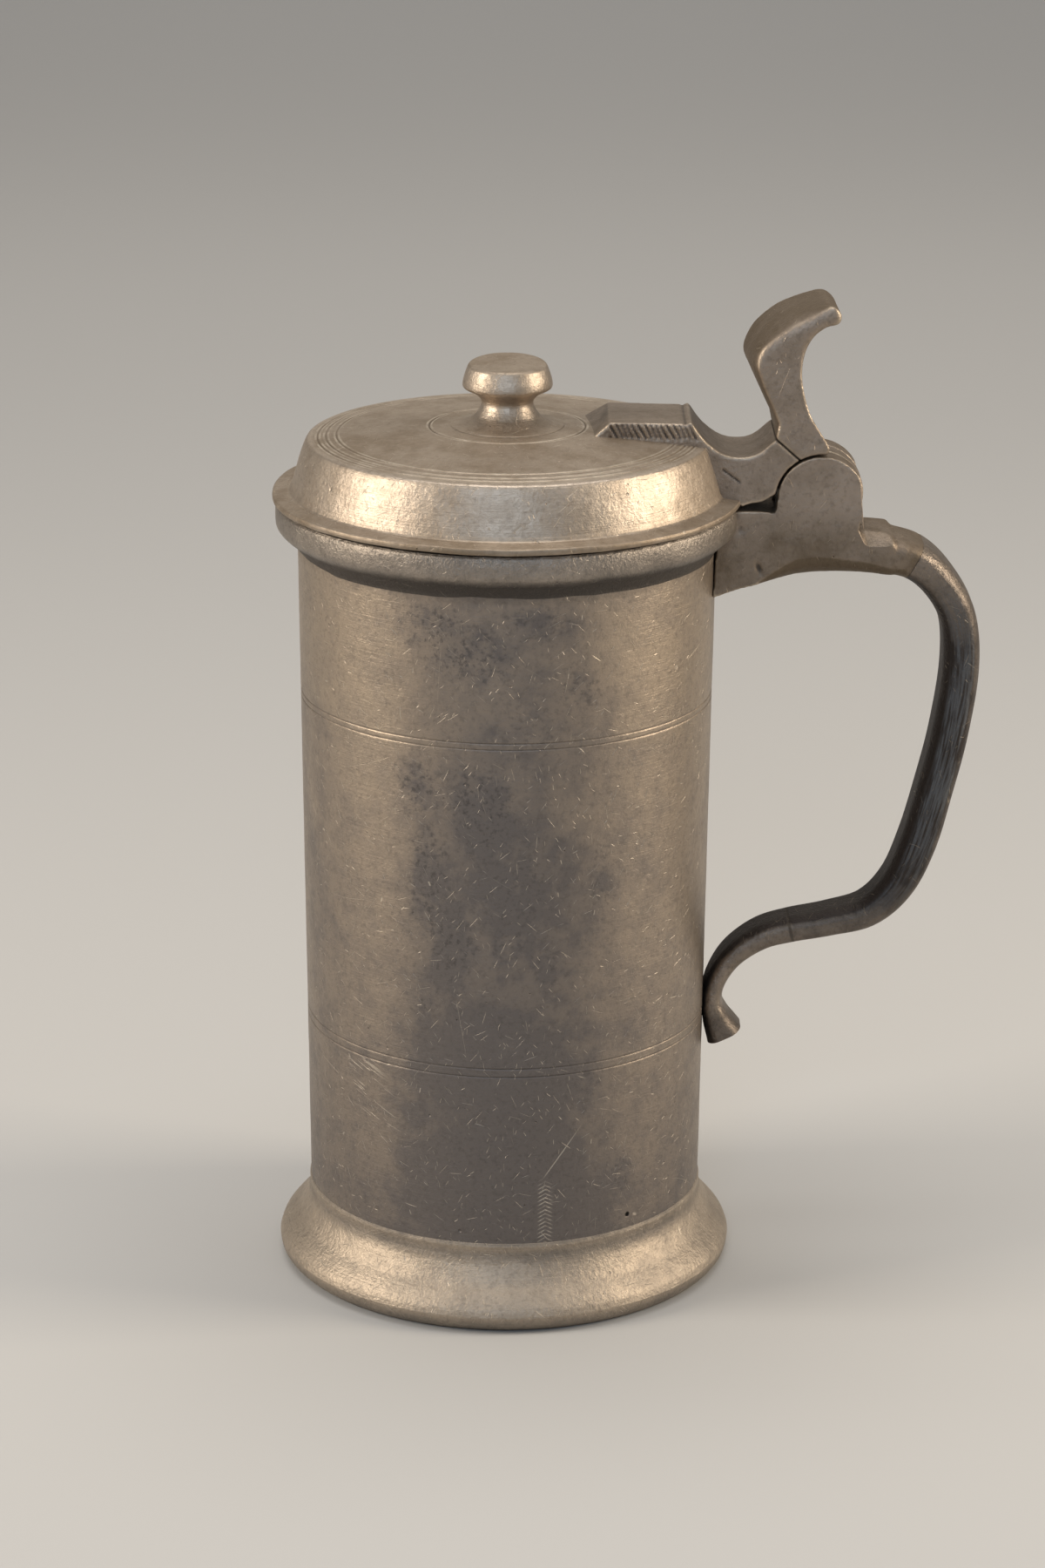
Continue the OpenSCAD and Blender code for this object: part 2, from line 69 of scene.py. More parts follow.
def rounded(corners, radii, steps=5):
    """Closed line whose corners are rounded: each corner c becomes the curve
    (1-t)^2 p + 2t(1-t) c + t^2 q, with p and q at the radius from c along its two sides."""
    c = np.asarray(corners, float)
    back, ahead = np.roll(c, 1, 0) - c, np.roll(c, -1, 0) - c
    reach_back, reach_ahead = np.linalg.norm(back, axis=1), np.linalg.norm(ahead, axis=1)
    r = np.minimum(np.asarray(radii, float), 0.48 * np.minimum(reach_back, reach_ahead))
    p = c + back * (r / reach_back)[:, None]
    q = c + ahead * (r / reach_ahead)[:, None]
    t = np.linspace(0, 1, steps)[None, :, None]
    return ((1 - t)**2 * p[:, None] + 2 * t * (1 - t) * c[:, None] + t**2 * q[:, None]).reshape(-1, 2)


def thrown(angle, height, size, seed):
    """Unevenness of hand work: size times a sum of waves round the axis and along it, the finer the lower."""
    rng = np.random.default_rng(seed)
    total = np.zeros(np.broadcast(angle, height).shape)
    for turns in (2, 3, 4, 6, 9, 17, 26, 41):
        phase, slope = rng.uniform(0, 2 * np.pi, 2), rng.uniform(-0.06, 0.06)
        about_axis = np.sin(turns * angle + phase[0] + slope * height)
        total = total + about_axis * np.sin(0.05 * turns * height + phase[1]) / turns**0.75
    return size * total


def ring_faces(rings, around, closed):
    """Squares between the rings of a grid, one ring a row; if it is closed, the last row joins the first."""
    row = np.arange(rings if closed else rings - 1)[:, None]
    col = np.arange(around)[None, :]
    nxt, right = (row + 1) % rings, (col + 1) % around
    corners = [row * around + col, row * around + right, nxt * around + right, nxt * around + col]
    return np.stack([np.broadcast_to(k, (len(row), around)) for k in corners], -1).reshape(-1, 4)


def shaded_smooth(mesh):
    """Shades every face of the mesh smooth."""
    mesh.polygons.foreach_set("use_smooth", np.ones(len(mesh.polygons), bool))


def made_mesh(name, points, squares, polygons=()):
    """A mesh object from points in millimetres and faces, smooth but for edges over 50 degrees."""
    mesh = bpy.data.meshes.new(name)
    mesh.from_pydata((np.asarray(points) * mm).tolist(), [], np.asarray(squares).tolist() + list(polygons))
    mesh.update()
    shaded_smooth(mesh)
    mesh.set_sharp_from_angle(angle=np.radians(50))
    piece = bpy.data.objects.new(name, mesh)
    bpy.context.scene.collection.objects.link(piece)
    return piece


def mended(piece, merged=False, outwards=False):
    """Merges points that lie together, and turns the faces outwards, each where it is asked for."""
    work = bmesh.new()
    work.from_mesh(piece.data)
    if merged:
        bmesh.ops.remove_doubles(work, verts=work.verts, dist=1e-7)
    if outwards:
        bmesh.ops.recalc_face_normals(work, faces=work.faces)
    work.to_mesh(piece.data)
    work.free()


def marked(piece, name, values):
    """Stores one number a point on the piece, for its material to read."""
    layer = piece.data.attributes.new(name, "FLOAT", "POINT")
    layer.data.foreach_set("value", np.asarray(values, np.float32))


def places_of(piece):
    """The piece's points in millimetres."""
    flat = np.empty(len(piece.data.vertices) * 3)
    piece.data.vertices.foreach_get("co", flat)
    return flat.reshape(-1, 3) / mm


def normals_of(piece):
    """The direction in which the skin faces at each point."""
    flat = np.empty(len(piece.data.vertices) * 3)
    piece.data.vertex_normals.foreach_get("vector", flat)
    return flat.reshape(-1, 3)


def edges_of(piece):
    """The points at the two ends of every edge, and a function for the mean over the edges that meet at
    each point. It takes two values for each edge: one counts at the first end, the other at the second."""
    total = len(piece.data.vertices)
    pairs = np.empty(len(piece.data.edges) * 2, int)
    piece.data.edges.foreach_get("vertices", pairs)
    a, b = pairs.reshape(-1, 2).T
    links = np.maximum(np.bincount(a, minlength=total) + np.bincount(b, minlength=total), 1)
    return a, b, lambda at_a, at_b: (np.bincount(a, at_a, total) + np.bincount(b, at_b, total)) / links


def worn_marks(piece, sharp=1.1, rounds=3, seam=0.0, brightened=0.0):
    """Marks edges and hollows from the bend of the surface: at a point p with neighbours' mean m and
    normal n the bend is -(m - p).n over the mean squared length of its edges, evened out over the
    neighbours. The mark 'worn' is the bend over sharp or the share given for brightening, which on the
    lid's turned beads is a painted highlight. The mark for grime and shade is the same on the hollow side,
    or the share given as seam, which holds dirt in grooves, dark joints, cracks and pits and, under the lip
    and round the foot's rim, painted shade."""
    p = places_of(piece)
    a, b, mean_of = edges_of(piece)
    mean = np.stack([mean_of(p[b, k], p[a, k]) for k in range(3)], -1)
    span = np.sum((p[a] - p[b])**2, 1)
    bend = -np.sum((mean - p) * normals_of(piece), 1) / np.maximum(mean_of(span, span), 1e-4)
    for _ in range(rounds):
        bend = 0.5 * bend + 0.5 * mean_of(bend[b], bend[a])
    marked(piece, "worn", np.clip(np.maximum(bend / sharp, brightened), 0, 1))
    marked(piece, "grime_and_shade", np.clip(np.maximum(-bend / sharp, seam), 0, 1))


def turned(name, outline, around=224, uneven=0.0, seed=1, closed=True):
    """A lathe-turned piece: the point (r, z) of the outline goes to (r cos a, r sin a, z) for every angle
    a, with r made uneven by hand work. An open outline runs from axis to axis, and its ends are closed."""
    line = np.asarray(outline, float)
    angle = np.arange(around) * 2 * np.pi / around
    r, z = line[:, :1], line[:, 1:]
    r = np.where(r > 1e-6, np.maximum(r - np.abs(thrown(angle, z, uneven, seed)), 0), 0)
    points = np.stack([r * np.cos(angle), r * np.sin(angle), np.broadcast_to(z, r.shape)], -1).reshape(-1, 3)
    piece = made_mesh(name, points, ring_faces(len(line), around, closed))
    if not closed:
        mended(piece, merged=True)
    return piece


def ramp(value, start, width):
    """(value - start) / width, kept between 0 and 1; a width below 0 makes it fall as the value grows."""
    return np.clip((value - start) / width, 0, 1)


def hump(value, middle, width, power=2):
    """e^-((value - middle) / width)^power: 1 in the middle, and the flatter there the higher the power."""
    return np.exp(-((value - middle) / width)**power)


def beside(places, spread_out, steps):
    """Heights close to each of the places, steps to each side."""
    return (np.asarray(places)[:, None] + np.linspace(-spread_out, spread_out, steps)[None, :]).ravel()


def cut_line(distance):
    """Depth of a turned line at a distance from its middle: a groove, and a bead thrown up on each side."""
    groove = -cut_depth * hump(distance, 0, cut_half_width)
    return groove + bead_height * hump(np.abs(distance), bead_off, bead_half_width)


def drum_r(z):
    """Radius of the drum's outside at a height: a straight taper from its foot to its mouth."""
    return drum_foot_r + (drum_mouth_r - drum_foot_r) * (z - drum_foot_z) / (mouth_z - drum_foot_z)


close_z = beside(cut_heights, 1.1, 19)
outer_z = np.unique(np.concatenate([np.arange(drum_foot_z, mouth_z, 1.6), [mouth_z], close_z]).round(3))
outer_r = drum_r(outer_z) + sum(cut_line(outer_z - z) for z in cut_heights)
inner_z = np.linspace(mouth_z, drum_foot_z, 60)
inner_r = drum_r(inner_z) - drum_wall
drum_outline = np.vstack([np.stack([outer_r, outer_z], -1), np.stack([inner_r, inner_z], -1)])
drum_wall_piece = turned("drum_wall", drum_outline, around=240, uneven=0.05, seed=11)

# Dull blotches on the drum's front: place along it, height, half width and half height in mm, and strength
blotches = np.array([
    [-5.5, 130, 8, 12, 0.95], [-17, 174, 13, 7, 0.7], [-9, 168, 16, 9, 0.6], [-22, 135, 8, 10, 0.65],
    [-19, 112, 6, 16, 0.8], [-13, 96, 8, 14, 0.7], [2, 108, 16, 22, 0.45], [6, 150, 14, 12, 0.4],
    [10, 40, 16, 10, 0.42], [-6, 44, 14, 12, 0.4], [24, 112, 5, 18, 0.4], [30, 36, 8, 9, 0.5],
    [8, 176, 14, 6, 0.5], [0, 78, 18, 10, 0.35], [18, 160, 9, 9, 0.45], [-30, 160, 6, 12, 0.35],
    [-28, 98, 5, 12, 0.35], [12, 90, 9, 8, 0.45], [-20, 82, 9, 8, 0.45], [20, 62, 12, 7, 0.4],
])
x, y, z = places_of(drum_wall_piece).T
along = np.arctan2(x, -y) * drum_mouth_r
stain = np.zeros(len(z))
for at, up, wide, high, strength in blotches:
    stain = np.maximum(stain, strength * hump(along, at, wide) * hump(z, up, high))
marked(drum_wall_piece, "stain", stain)

# A dark band down the middle of the front, patina and a painted dark reflection, and, all round, painted
# shade that grows towards the foot
middle = 0.48 * hump(along, -1, 25, 4)
lower = 0.6 * ramp(z, 165, -130)
marked(drum_wall_piece, "patina_and_shade", middle * (1 - 0.3 * lower) + lower)

# Three bundles of strokes at the left, under the lower pair of lines
strokes = np.zeros(len(z))
for at, up in ((-38.5, 61), (-36, 55), (-33, 49.5)):
    strokes = strokes + hump(along, at, 6, 4) * hump(z, up, 2.3, 4)
marked(drum_wall_piece, "strokes", strokes)
# Dirt in the turned grooves, and painted shade where the lip overhangs the drum
in_cuts = sum(hump(z, cut, 0.2) for cut in cut_heights)
shade_under_lip = hump(z, lip_foot_z, 1.3)
worn_marks(drum_wall_piece, sharp=6.0, rounds=1, seam=0.5 * shade_under_lip + 0.45 * in_cuts)


def node(tree, kind, wires=(), **settings):
    """Adds a node with its settings; wires gives each input a value or the socket that feeds it."""
    made = tree.nodes.new(kind)
    for key, value in settings.items():
        setattr(made, key, value)
    for key, value in dict(wires).items():
        if isinstance(value, bpy.types.NodeSocket):
            tree.links.new(value, made.inputs[key])
        else:
            made.inputs[key].default_value = value
    return made


def maths(operation, *values):
    """One arithmetic step on numbers and sockets, in the node tree of its first socket."""
    tree = next(value for value in values if isinstance(value, bpy.types.NodeSocket)).id_data
    return node(tree, "ShaderNodeMath", dict(enumerate(values)), operation=operation).outputs[0]


def in_turn(operation):
    """A function that takes its values through one arithmetic operation, from left to right."""
    return lambda first, *others: reduce(lambda so_far, value: maths(operation, so_far, value), others, first)


plus, minus, times, most = (in_turn(word) for word in ("ADD", "SUBTRACT", "MULTIPLY", "MAXIMUM"))


def divided(value, by):
    """The value divided by another."""
    return maths("DIVIDE", value, by)


def vector(operation, *values):
    """One step on places or directions, of which the first is a socket; gives the node's outputs."""
    tree = values[0].id_data
    return node(tree, "ShaderNodeVectorMath", dict(enumerate(values)), operation=operation).outputs


def noise(place, scale, detail, roughness=0.5):
    """Cloudy noise at the place, about 0.5 in the mean."""
    wires = {"Vector": place, "Scale": scale, "Detail": detail, "Roughness": roughness}
    return node(place.id_data, "ShaderNodeTexNoise", wires).outputs["Fac"]


def step_between(value, low, high):
    """0 below low, 1 above high and a soft step between."""
    wires = {"Value": value, "From Min": low, "From Max": high}
    return node(value.id_data, "ShaderNodeMapRange", wires, interpolation_type="SMOOTHSTEP").outputs["Result"]


def fading(value, low, high):
    """1 below low, 0 above high and a soft step between."""
    return minus(1.0, step_between(value, low, high))


def cells(place, spacing):
    """Splits space into cells of about the spacing: the cells' outputs, and each cell's chance values."""
    tree = place.id_data
    cell = node(tree, "ShaderNodeTexVoronoi", {"Vector": place, "Scale": divided(1.0, spacing)}).outputs
    wires = {"Vector": cell["Position"]}
    return cell, node(tree, "ShaderNodeTexWhiteNoise", wires, noise_dimensions="3D").outputs


def effect(name, result, **inputs):
    """A shader node group that takes the place and the named inputs and gives one number: its tree, what
    it is given, and a function that puts the result out."""
    tree = bpy.data.node_groups.new(name, "ShaderNodeTree")
    tree.interface.new_socket("Place", in_out="INPUT", socket_type="NodeSocketVector")
    for label, value in inputs.items():
        kind = "NodeSocketVector" if isinstance(value, tuple) else "NodeSocketFloat"
        tree.interface.new_socket(label, in_out="INPUT", socket_type=kind).default_value = value
    tree.interface.new_socket(result, in_out="OUTPUT", socket_type="NodeSocketFloat")
    given = tree.nodes.new("NodeGroupInput").outputs
    output = tree.nodes.new("NodeGroupOutput").inputs[result]
    return tree, given, lambda value: tree.links.new(value, output)


def placed(group, place, **wires):
    """The group as a node of the place's tree, with its own values; gives the group's one output."""
    wires = {"Place": place, **wires}
    return node(place.id_data, "ShaderNodeGroup", wires, node_tree=group).outputs[0]


def around_level(given):
    """The two values between which a mask steps: the level less the edge, and the level and the edge."""
    return minus(given["Level"], given["Edge"]), plus(given["Level"], given["Edge"])


# Cloudy patches: noise of a given size, cut at a level with a soft edge
clouds, given, put = effect("clouds", "Mask", Size=0.01, Level=0.5, Edge=0.1)
patches = noise(given["Place"], divided(1.0, given["Size"]), 6.0, 0.62)
put(step_between(patches, *around_level(given)))

# Straight scratches: each cell holds a plane in a chance direction, and shows where the plane meets the skin
scratches, given, put = effect("scratches", "Mask", Spacing=0.006, Width=0.0001, Share=0.5)
cell, chance = cells(given["Place"], given["Spacing"])
offset = vector("SUBTRACT", given["Place"], cell["Position"])[0]
direction = vector("NORMALIZE", vector("SUBTRACT", chance["Color"], (0.5, 0.5, 0.5))[0])[0]
apart = maths("ABSOLUTE", vector("DOT_PRODUCT", offset, direction)["Value"])
thin = fading(apart, 0.0, given["Width"])
ends = fading(cell["Distance"], 0.25, 0.6)
there = maths("LESS_THAN", chance["Value"], given["Share"])
put(times(thin, ends, there))

# Pits: a small round hole in a share of the cells
pits, given, put = effect("pits", "Mask", Spacing=0.004, Width=0.0003, Share=0.3)
cell, chance = cells(given["Place"], given["Spacing"])
away = times(cell["Distance"], given["Spacing"])
size = times(given["Width"], plus(0.4, chance["Value"]))
hole = fading(away, times(size, 0.3), size)
red = node(pits, "ShaderNodeSeparateColor", {0: chance["Color"]}).outputs[0]
put(times(hole, maths("LESS_THAN", red, given["Share"])))

# Turning marks: fine rings about the axis, worked out from the radius and the height, broken along the ring
rings, given, put = effect("turning_marks", "Height", Pitch=0.0004)
x, y, z = node(rings, "ShaderNodeSeparateXYZ", {0: given["Place"]}).outputs
radius = maths("SQRT", plus(times(x, x), times(y, y)))
along_ring = divided(plus(x, y), times(given["Pitch"], 60.0))
unrolled = {0: divided(radius, given["Pitch"]), 1: divided(z, given["Pitch"]), 2: along_ring}
unrolled = node(rings, "ShaderNodeCombineXYZ", unrolled).outputs[0]
put(noise(unrolled, 1.0, 3.0, 0.6))

# A bundle of strokes: noise drawn out along one slanting direction and cut high, where the mark is
bundles, given, put = effect("strokes", "Mask", Mark=0.0, Width=0.0006, Level=0.575)
slanting = {"Vector": given["Place"], "Rotation": (0.0, -0.47, 0.0)}
slanting = node(bundles, "ShaderNodeMapping", slanting).outputs[0]
drawn_out = vector("MULTIPLY", slanting, (0.05, 0.05, 1.0))[0]
fibres = noise(drawn_out, divided(1.0, given["Width"]), 2.0)
fibres = step_between(fibres, given["Level"], plus(given["Level"], 0.05))
put(times(fibres, given["Mark"]))

# Chatter: an upright row of broken crescents above the foot point, and the slanting scratch into its top
chatter, given, put = effect("chatter", "Mask", Foot=(0.0098, 0.0, 0.0215), Pitch=0.00105)
from_foot = vector("SUBTRACT", given["Place"], given["Foot"])[0]
x, y, z = node(chatter, "ShaderNodeSeparateXYZ", {0: from_foot}).outputs
aside = maths("ABSOLUTE", x)
turns = divided(plus(z, times(aside, 0.55)), given["Pitch"])
crescents = step_between(maths("SINE", times(turns, 6.2832)), 0.2, 0.9)
in_row = times(fading(aside, 0.001, 0.0021), fading(z, 0.0125, 0.0165))
broken = placed(clouds, given["Place"], Size=0.0022, Level=0.5, Edge=0.12)
crescents = times(crescents, in_row, plus(0.2, times(broken, 0.8)))
off_line = minus(times(x, 0.816), times(minus(z, 0.0165), 0.578))
scratch = fading(maths("ABSOLUTE", off_line), 0.00003, 0.0002)
in_reach = times(step_between(z, 0.015, 0.018), fading(z, 0.022, 0.030))
front_only = maths("LESS_THAN", y, 0.0)
put(times(most(crescents, times(scratch, in_reach)), front_only))

# Ragged edge of a mark: the mark grown or eaten by noise, then cut
ragged, given, put = effect("ragged", "Mask", Mark=0.0, Size=0.002, Level=0.4, Edge=0.2)
bites = noise(given["Place"], divided(1.0, given["Size"]), 5.0, 0.65)
grown = times(given["Mark"], plus(0.4, times(bites, 1.2)))
put(step_between(grown, *around_level(given)))


def mixed(share, under, over):
    """Goes from one colour to another by the share. A colour is a socket, or red, green and blue."""
    under, over = (c if isinstance(c, bpy.types.NodeSocket) else (*c, 1.0) for c in (under, over))
    wires = {0: share, 6: under, 7: over}
    return node(share.id_data, "ShaderNodeMix", wires, data_type="RGBA").outputs[2]


def marks_of(tree, *names):
    """The numbers that marked() stored on the piece under the names."""
    return (node(tree, "ShaderNodeAttribute", attribute_name=name).outputs["Fac"] for name in names)


def new_material(name):
    """A material, its node tree and the inputs of its skin."""
    made = bpy.data.materials.new(name)
    made.use_nodes = True
    return made, made.node_tree, made.node_tree.nodes["Principled BSDF"].inputs


def pewter(
        name, clean, dull, bright, roughness=0.4, turned_marks=0.5, grain=1.0, dull_level=0.56,
        scratch_share=0.5, pit_share=0.3, edge_share=0.4, dent_share=0.15, flank_sheen=None, pinhole=None):
    """Worn pewter. The colour goes from clean to dull by patches, stains, patina and painted shade, to dark
    in hollows, pits and painted shade and to bright on worn edges, scratches and painted highlights. Given a
    flank colour, it paints a cool sheen in streaks along the flank that the piece marks. The height holds
    the grain, the turning marks, the pits and the scratches."""
    made, tree, skin = new_material(name)
    place = node(tree, "ShaderNodeTexCoord").outputs["Object"]
    worn, grime_and_shade, stain, patina_and_shade, stroked = marks_of(tree, "worn", "grime_and_shade", "stain", "patina_and_shade", "strokes")
    broad = placed(clouds, place, Size=0.034, Level=dull_level, Edge=0.14)
    fine = placed(clouds, place, Size=0.0065, Level=0.54, Edge=0.15)
    specks = placed(clouds, place, Size=0.0013, Level=0.58, Edge=0.1)
    brightened = placed(clouds, place, Size=0.007, Level=0.5, Edge=0.12)
    blot = placed(ragged, place, Mark=stain, Size=0.0042, Level=0.5, Edge=0.3)
    edge = placed(ragged, place, Mark=worn, Size=0.0014, Level=0.5, Edge=0.32)
    edge = times(edge, plus(0.15, times(brightened, 0.85)))
    dirt_and_shade = placed(ragged, place, Mark=grime_and_shade, Size=0.0015, Level=0.4, Edge=0.3)
    long_marks = placed(scratches, place, Spacing=0.015, Width=0.00006, Share=scratch_share * 0.6)
    short_marks = placed(scratches, place, Spacing=0.0034, Width=0.00006, Share=scratch_share)
    nicks = placed(scratches, place, Spacing=0.0014, Width=0.00008, Share=scratch_share * 0.4)
    lines = most(times(long_marks, 0.7), short_marks, nicks, placed(bundles, place, Mark=stroked))
    holes = placed(pits, place, Spacing=0.0036, Width=0.0004, Share=pit_share)
    dents = placed(pits, place, Spacing=0.006, Width=0.0009, Share=dent_share)
    hole_depth = most(holes, times(dents, 0.8))

    mottled = times(blot, plus(0.3, times(plus(fine, specks), 0.28)))
    # The piece's patina mark adds both patina and painted shade to the dull share
    shade = plus(times(broad, 0.32), times(fine, 0.25), patina_and_shade, mottled)
    shade = maths("MINIMUM", shade, 1.0)
    colour = mixed(shade, clean, dull)
    colour = mixed(times(specks, plus(0.26, times(blot, 0.5))), colour, [0.5 * part for part in dull])
    # A painted cool sheen in streaks along the flank that the piece marks
    if flank_sheen is not None:
        run, depth, flank = marks_of(tree, "run", "depth", "flank")
        drawn_out = {0: times(run, 90.0), 1: times(depth, 1500.0)}
        drawn_out = node(tree, "ShaderNodeCombineXYZ", drawn_out).outputs[0]
        streaks = step_between(noise(drawn_out, 1.0, 4.0, 0.6), 0.36, 0.62)
        colour = mixed(times(flank, streaks), colour, flank_sheen)
    if pinhole is not None:
        lines = most(lines, times(placed(chatter, place), 1.1))
    colour = mixed(times(edge, edge_share), colour, bright)
    colour = mixed(times(lines, 0.4), colour, bright)
    # Dark dirt in hollows, joints and pits, and painted shade where the pieces mark it
    dirt_and_shade_colour, pinhole_colour = (0.05, 0.038, 0.028), (0.004, 0.003, 0.003)
    colour = mixed(times(most(dirt_and_shade, holes), 0.75), colour, dirt_and_shade_colour)
    if pinhole is not None:
        away = vector("DISTANCE", place, pinhole)["Value"]
        prick = fading(away, 0.0004, 0.0008)
        colour = mixed(prick, colour, pinhole_colour)
        hole_depth = most(hole_depth, prick)
    tree.links.new(colour, skin["Base Color"])

    rough = minus(plus(roughness, times(shade, 0.12), times(dirt_and_shade, 0.2)), times(edge, 0.06))
    tree.links.new(rough, skin["Roughness"])
    metal = minus(0.97, times(most(dirt_and_shade, times(shade, 0.35)), 0.6))
    tree.links.new(metal, skin["Metallic"])

    grains = times(noise(place, 1 / 0.0009, 4.0, 0.62), grain)
    turned_rings = times(placed(rings, place, Pitch=0.00035), turned_marks)
    height = plus(grains, turned_rings, times(noise(place, 170.0, 2.0), 2.0))
    height = minus(height, times(lines, 0.5), times(hole_depth, 2.0))
    bump = node(tree, "ShaderNodeBump", {"Height": height, "Strength": 1.0, "Distance": 0.00012})
    tree.links.new(bump.outputs[0], skin["Normal"])
    return made


def finished(piece, material, body, slot, *nodes):
    """Gives a piece its finish and its body, and hides the CAD nodes that it stands for."""
    piece.data.materials.append(material)
    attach(piece, body)
    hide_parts(*nodes)


drum_finish = pewter(
    "drum_pewter", clean=(0.43, 0.35, 0.27), dull=(0.165, 0.146, 0.136), bright=(0.82, 0.73, 0.60),
    pinhole=(0.0298, -0.0382, 0.0239))
finished(drum_wall_piece, drum_finish, "vessel", "pewter", "drum")

# The base plate: a disc of sheet pewter that closes the drum's bottom, soldered to the ledge inside the foot.
# It is seen only from below and from inside; its rim is skimmed and its middle shows the lathe's rings.
plate_top, plate_under, plate_r = 20.5, 18.5, 46.15
ringed_under = [[r, plate_under + 0.08 * np.sin(r * 1.9)] for r in np.linspace(1, 43.6, 60)]
ringed_top = [[r, plate_top - 0.05 * (1 + np.sin(r * 1.4))] for r in np.linspace(45, 1, 45)]
plate_rim = [
    [44.6, plate_under], [plate_r - 0.3, plate_under], [plate_r, plate_under + 0.4],
    [plate_r, plate_top - 0.3], [plate_r - 0.3, plate_top],
]
plate_outline = [[0, plate_under]] + ringed_under + plate_rim + ringed_top + [[0, plate_top]]
base_disc = turned("base_disc", plate_outline, around=160, closed=False)
worn_marks(base_disc)
under_finish = pewter(
    "under_pewter", clean=(0.36, 0.31, 0.25), dull=(0.17, 0.15, 0.13), bright=(0.62, 0.54, 0.44),
    roughness=0.46, turned_marks=1.0)
finished(base_disc, under_finish, "vessel", "dark_pewter", "base_plate")

# The foot: a cast moulding, turned to a thin bead at the drum and a hollow that sweeps out to a worn rim.
# It is soldered round the drum's bottom, and its turned-in edge rests on the table.
foot_rim_r, foot_rim_z, foot_base_r = 56.3, 4.4, 53.2
ledge_r, ledge_out_r = 44.2, 46.2
skirt_shares = [
    [0, 1], [0.026, 0.985], [0.048, 0.945], [0.042, 0.9], [0.042, 0.84], [0.063, 0.77], [0.15, 0.63],
    [0.38, 0.42], [0.68, 0.26], [0.91, 0.12], [1, 0],
]
edge_shares = [[1, 1], [0.93, 0.66], [0.78, 0.42], [0.4, 0.16], [0.1, 0.03], [0, 0]]
foot_inside = [
    [50.7, 0], [51.0, 0.6], [52.9, 3.6], [50.6, 7.2], [48.0, 10.2], [46.6, 13.4], [44.9, 15.2],
    [ledge_r, 15.9],
]
skirt = smooth_line(stretched(skirt_shares, [drum_foot_r, foot_rim_z], [foot_rim_r, drum_foot_z]), 7)
rim = smooth_line(stretched(edge_shares, [foot_base_r, 0], [foot_rim_r, foot_rim_z]), 5)
inside = smooth_line(foot_inside, 5)
ledge = [
    [ledge_r, 18.4], [46.0, 18.5], [ledge_out_r, 18.8], [ledge_out_r, drum_foot_z], [47.2, drum_foot_z],
]
foot_outline = np.vstack([ledge[::-1], inside[::-1], rim[::-1], skirt[::-1][1:]])
foot_moulding = turned("foot_moulding", foot_outline, uneven=0.16, seed=5)
x, y, z = places_of(foot_moulding).T
outside = np.hypot(x, y) > 48
# On the outside: painted shade in the hollow below the bead and under the rim, and darker at the joint with
# the drum
shade_below_bead = 0.55 * hump(z, 17.4, 1.5)
at_drum = 0.6 * hump(z, 20.4, 0.6)
shade_under_rim = 0.52 * ramp(z, 4.2, -1.4)
marked(foot_moulding, "patina_and_shade", outside * (shade_below_bead + at_drum + shade_under_rim))
# Painted shade, as grime, at the bottom of the rim's outside
worn_marks(foot_moulding, sharp=0.8, rounds=2, seam=0.65 * outside * ramp(z, 1.6, -1.4))
cast_finish = pewter(
    "moulding_pewter", clean=(0.46, 0.385, 0.305), dull=(0.20, 0.175, 0.15), bright=(0.74, 0.65, 0.53),
    roughness=0.5, grain=1.8, dull_level=0.57)
finished(foot_moulding, cast_finish, "vessel", "pewter", "foot_ring")

# The lip: a cast band round the mouth with a plain top, a bulging side and a hollow that runs to the drum.
# Its skin is granular from the mould, and its lower line wanders a little.
lip_r = 55.4
lip_shares = [
    [0, 0], [0.08, 0.09], [0.4, 0.26], [0.8, 0.42], [0.97, 0.55], [1, 0.76], [0.955, 0.93], [0.85, 1],
]
lip_side = smooth_line(stretched(lip_shares, [50.12, lip_foot_z], [lip_r, mouth_z]), 7)
lip_top = [[53.4, mouth_z], [51.6, mouth_z], [50.25, mouth_z - 0.02]]
lip_outline = np.vstack([lip_side, lip_top, [[50.2, 188], [50.15, 184]]])
lip_moulding = turned("lip_moulding", lip_outline, uneven=0.22, seed=8)
x, y, z = places_of(lip_moulding).T
# Painted shade in the hollow under the bulge, as patina and as grime
hollow = ramp(z, 187.2, -2.4)
marked(lip_moulding, "patina_and_shade", hollow)
worn_marks(lip_moulding, sharp=0.5, rounds=2, seam=0.5 * hollow)
granular_finish = pewter(
    "granular_pewter", clean=(0.35, 0.305, 0.26), dull=(0.10, 0.09, 0.082), bright=(0.62, 0.55, 0.45),
    roughness=0.42, turned_marks=0.2,
    grain=2.4, pit_share=0.5)
finished(lip_moulding, granular_finish, "vessel", "pewter", "lip_ring")

# The hinge bracket: one casting of an arm, two round cheeks and a block behind, soldered to drum and lip.
# It is finished with a file, its lower edges worn away to a double bevel, and darker than the lathe work.
hinge_x, hinge_z = 74.4, 195.1
hinge_r, turn_r, hinge_w, slot_w = 10.4, 10.9, 20.0, 6.8
arm_end_x, arm_end_z, arm_top_z = 92.08, 176.6, 192.3
block_end_x, block_top_z, grip_start_x = 91.25, 186.36, 97.0
arm_round, round_start = 4.6, 7
bracket_grain = 0.4


def arc(centre, radius, first, last, count=24):
    """Points at the radius from the centre, from one angle to another in degrees."""
    a = np.radians(np.linspace(first, last, count))
    return np.stack([centre[0] + radius * np.cos(a), centre[1] + radius * np.sin(a)], -1)


def side_view(line, y):
    """The points of a line in X and Z, at one place across."""
    return np.stack([line[:, 0], np.full(len(line), y), line[:, 1]], -1)


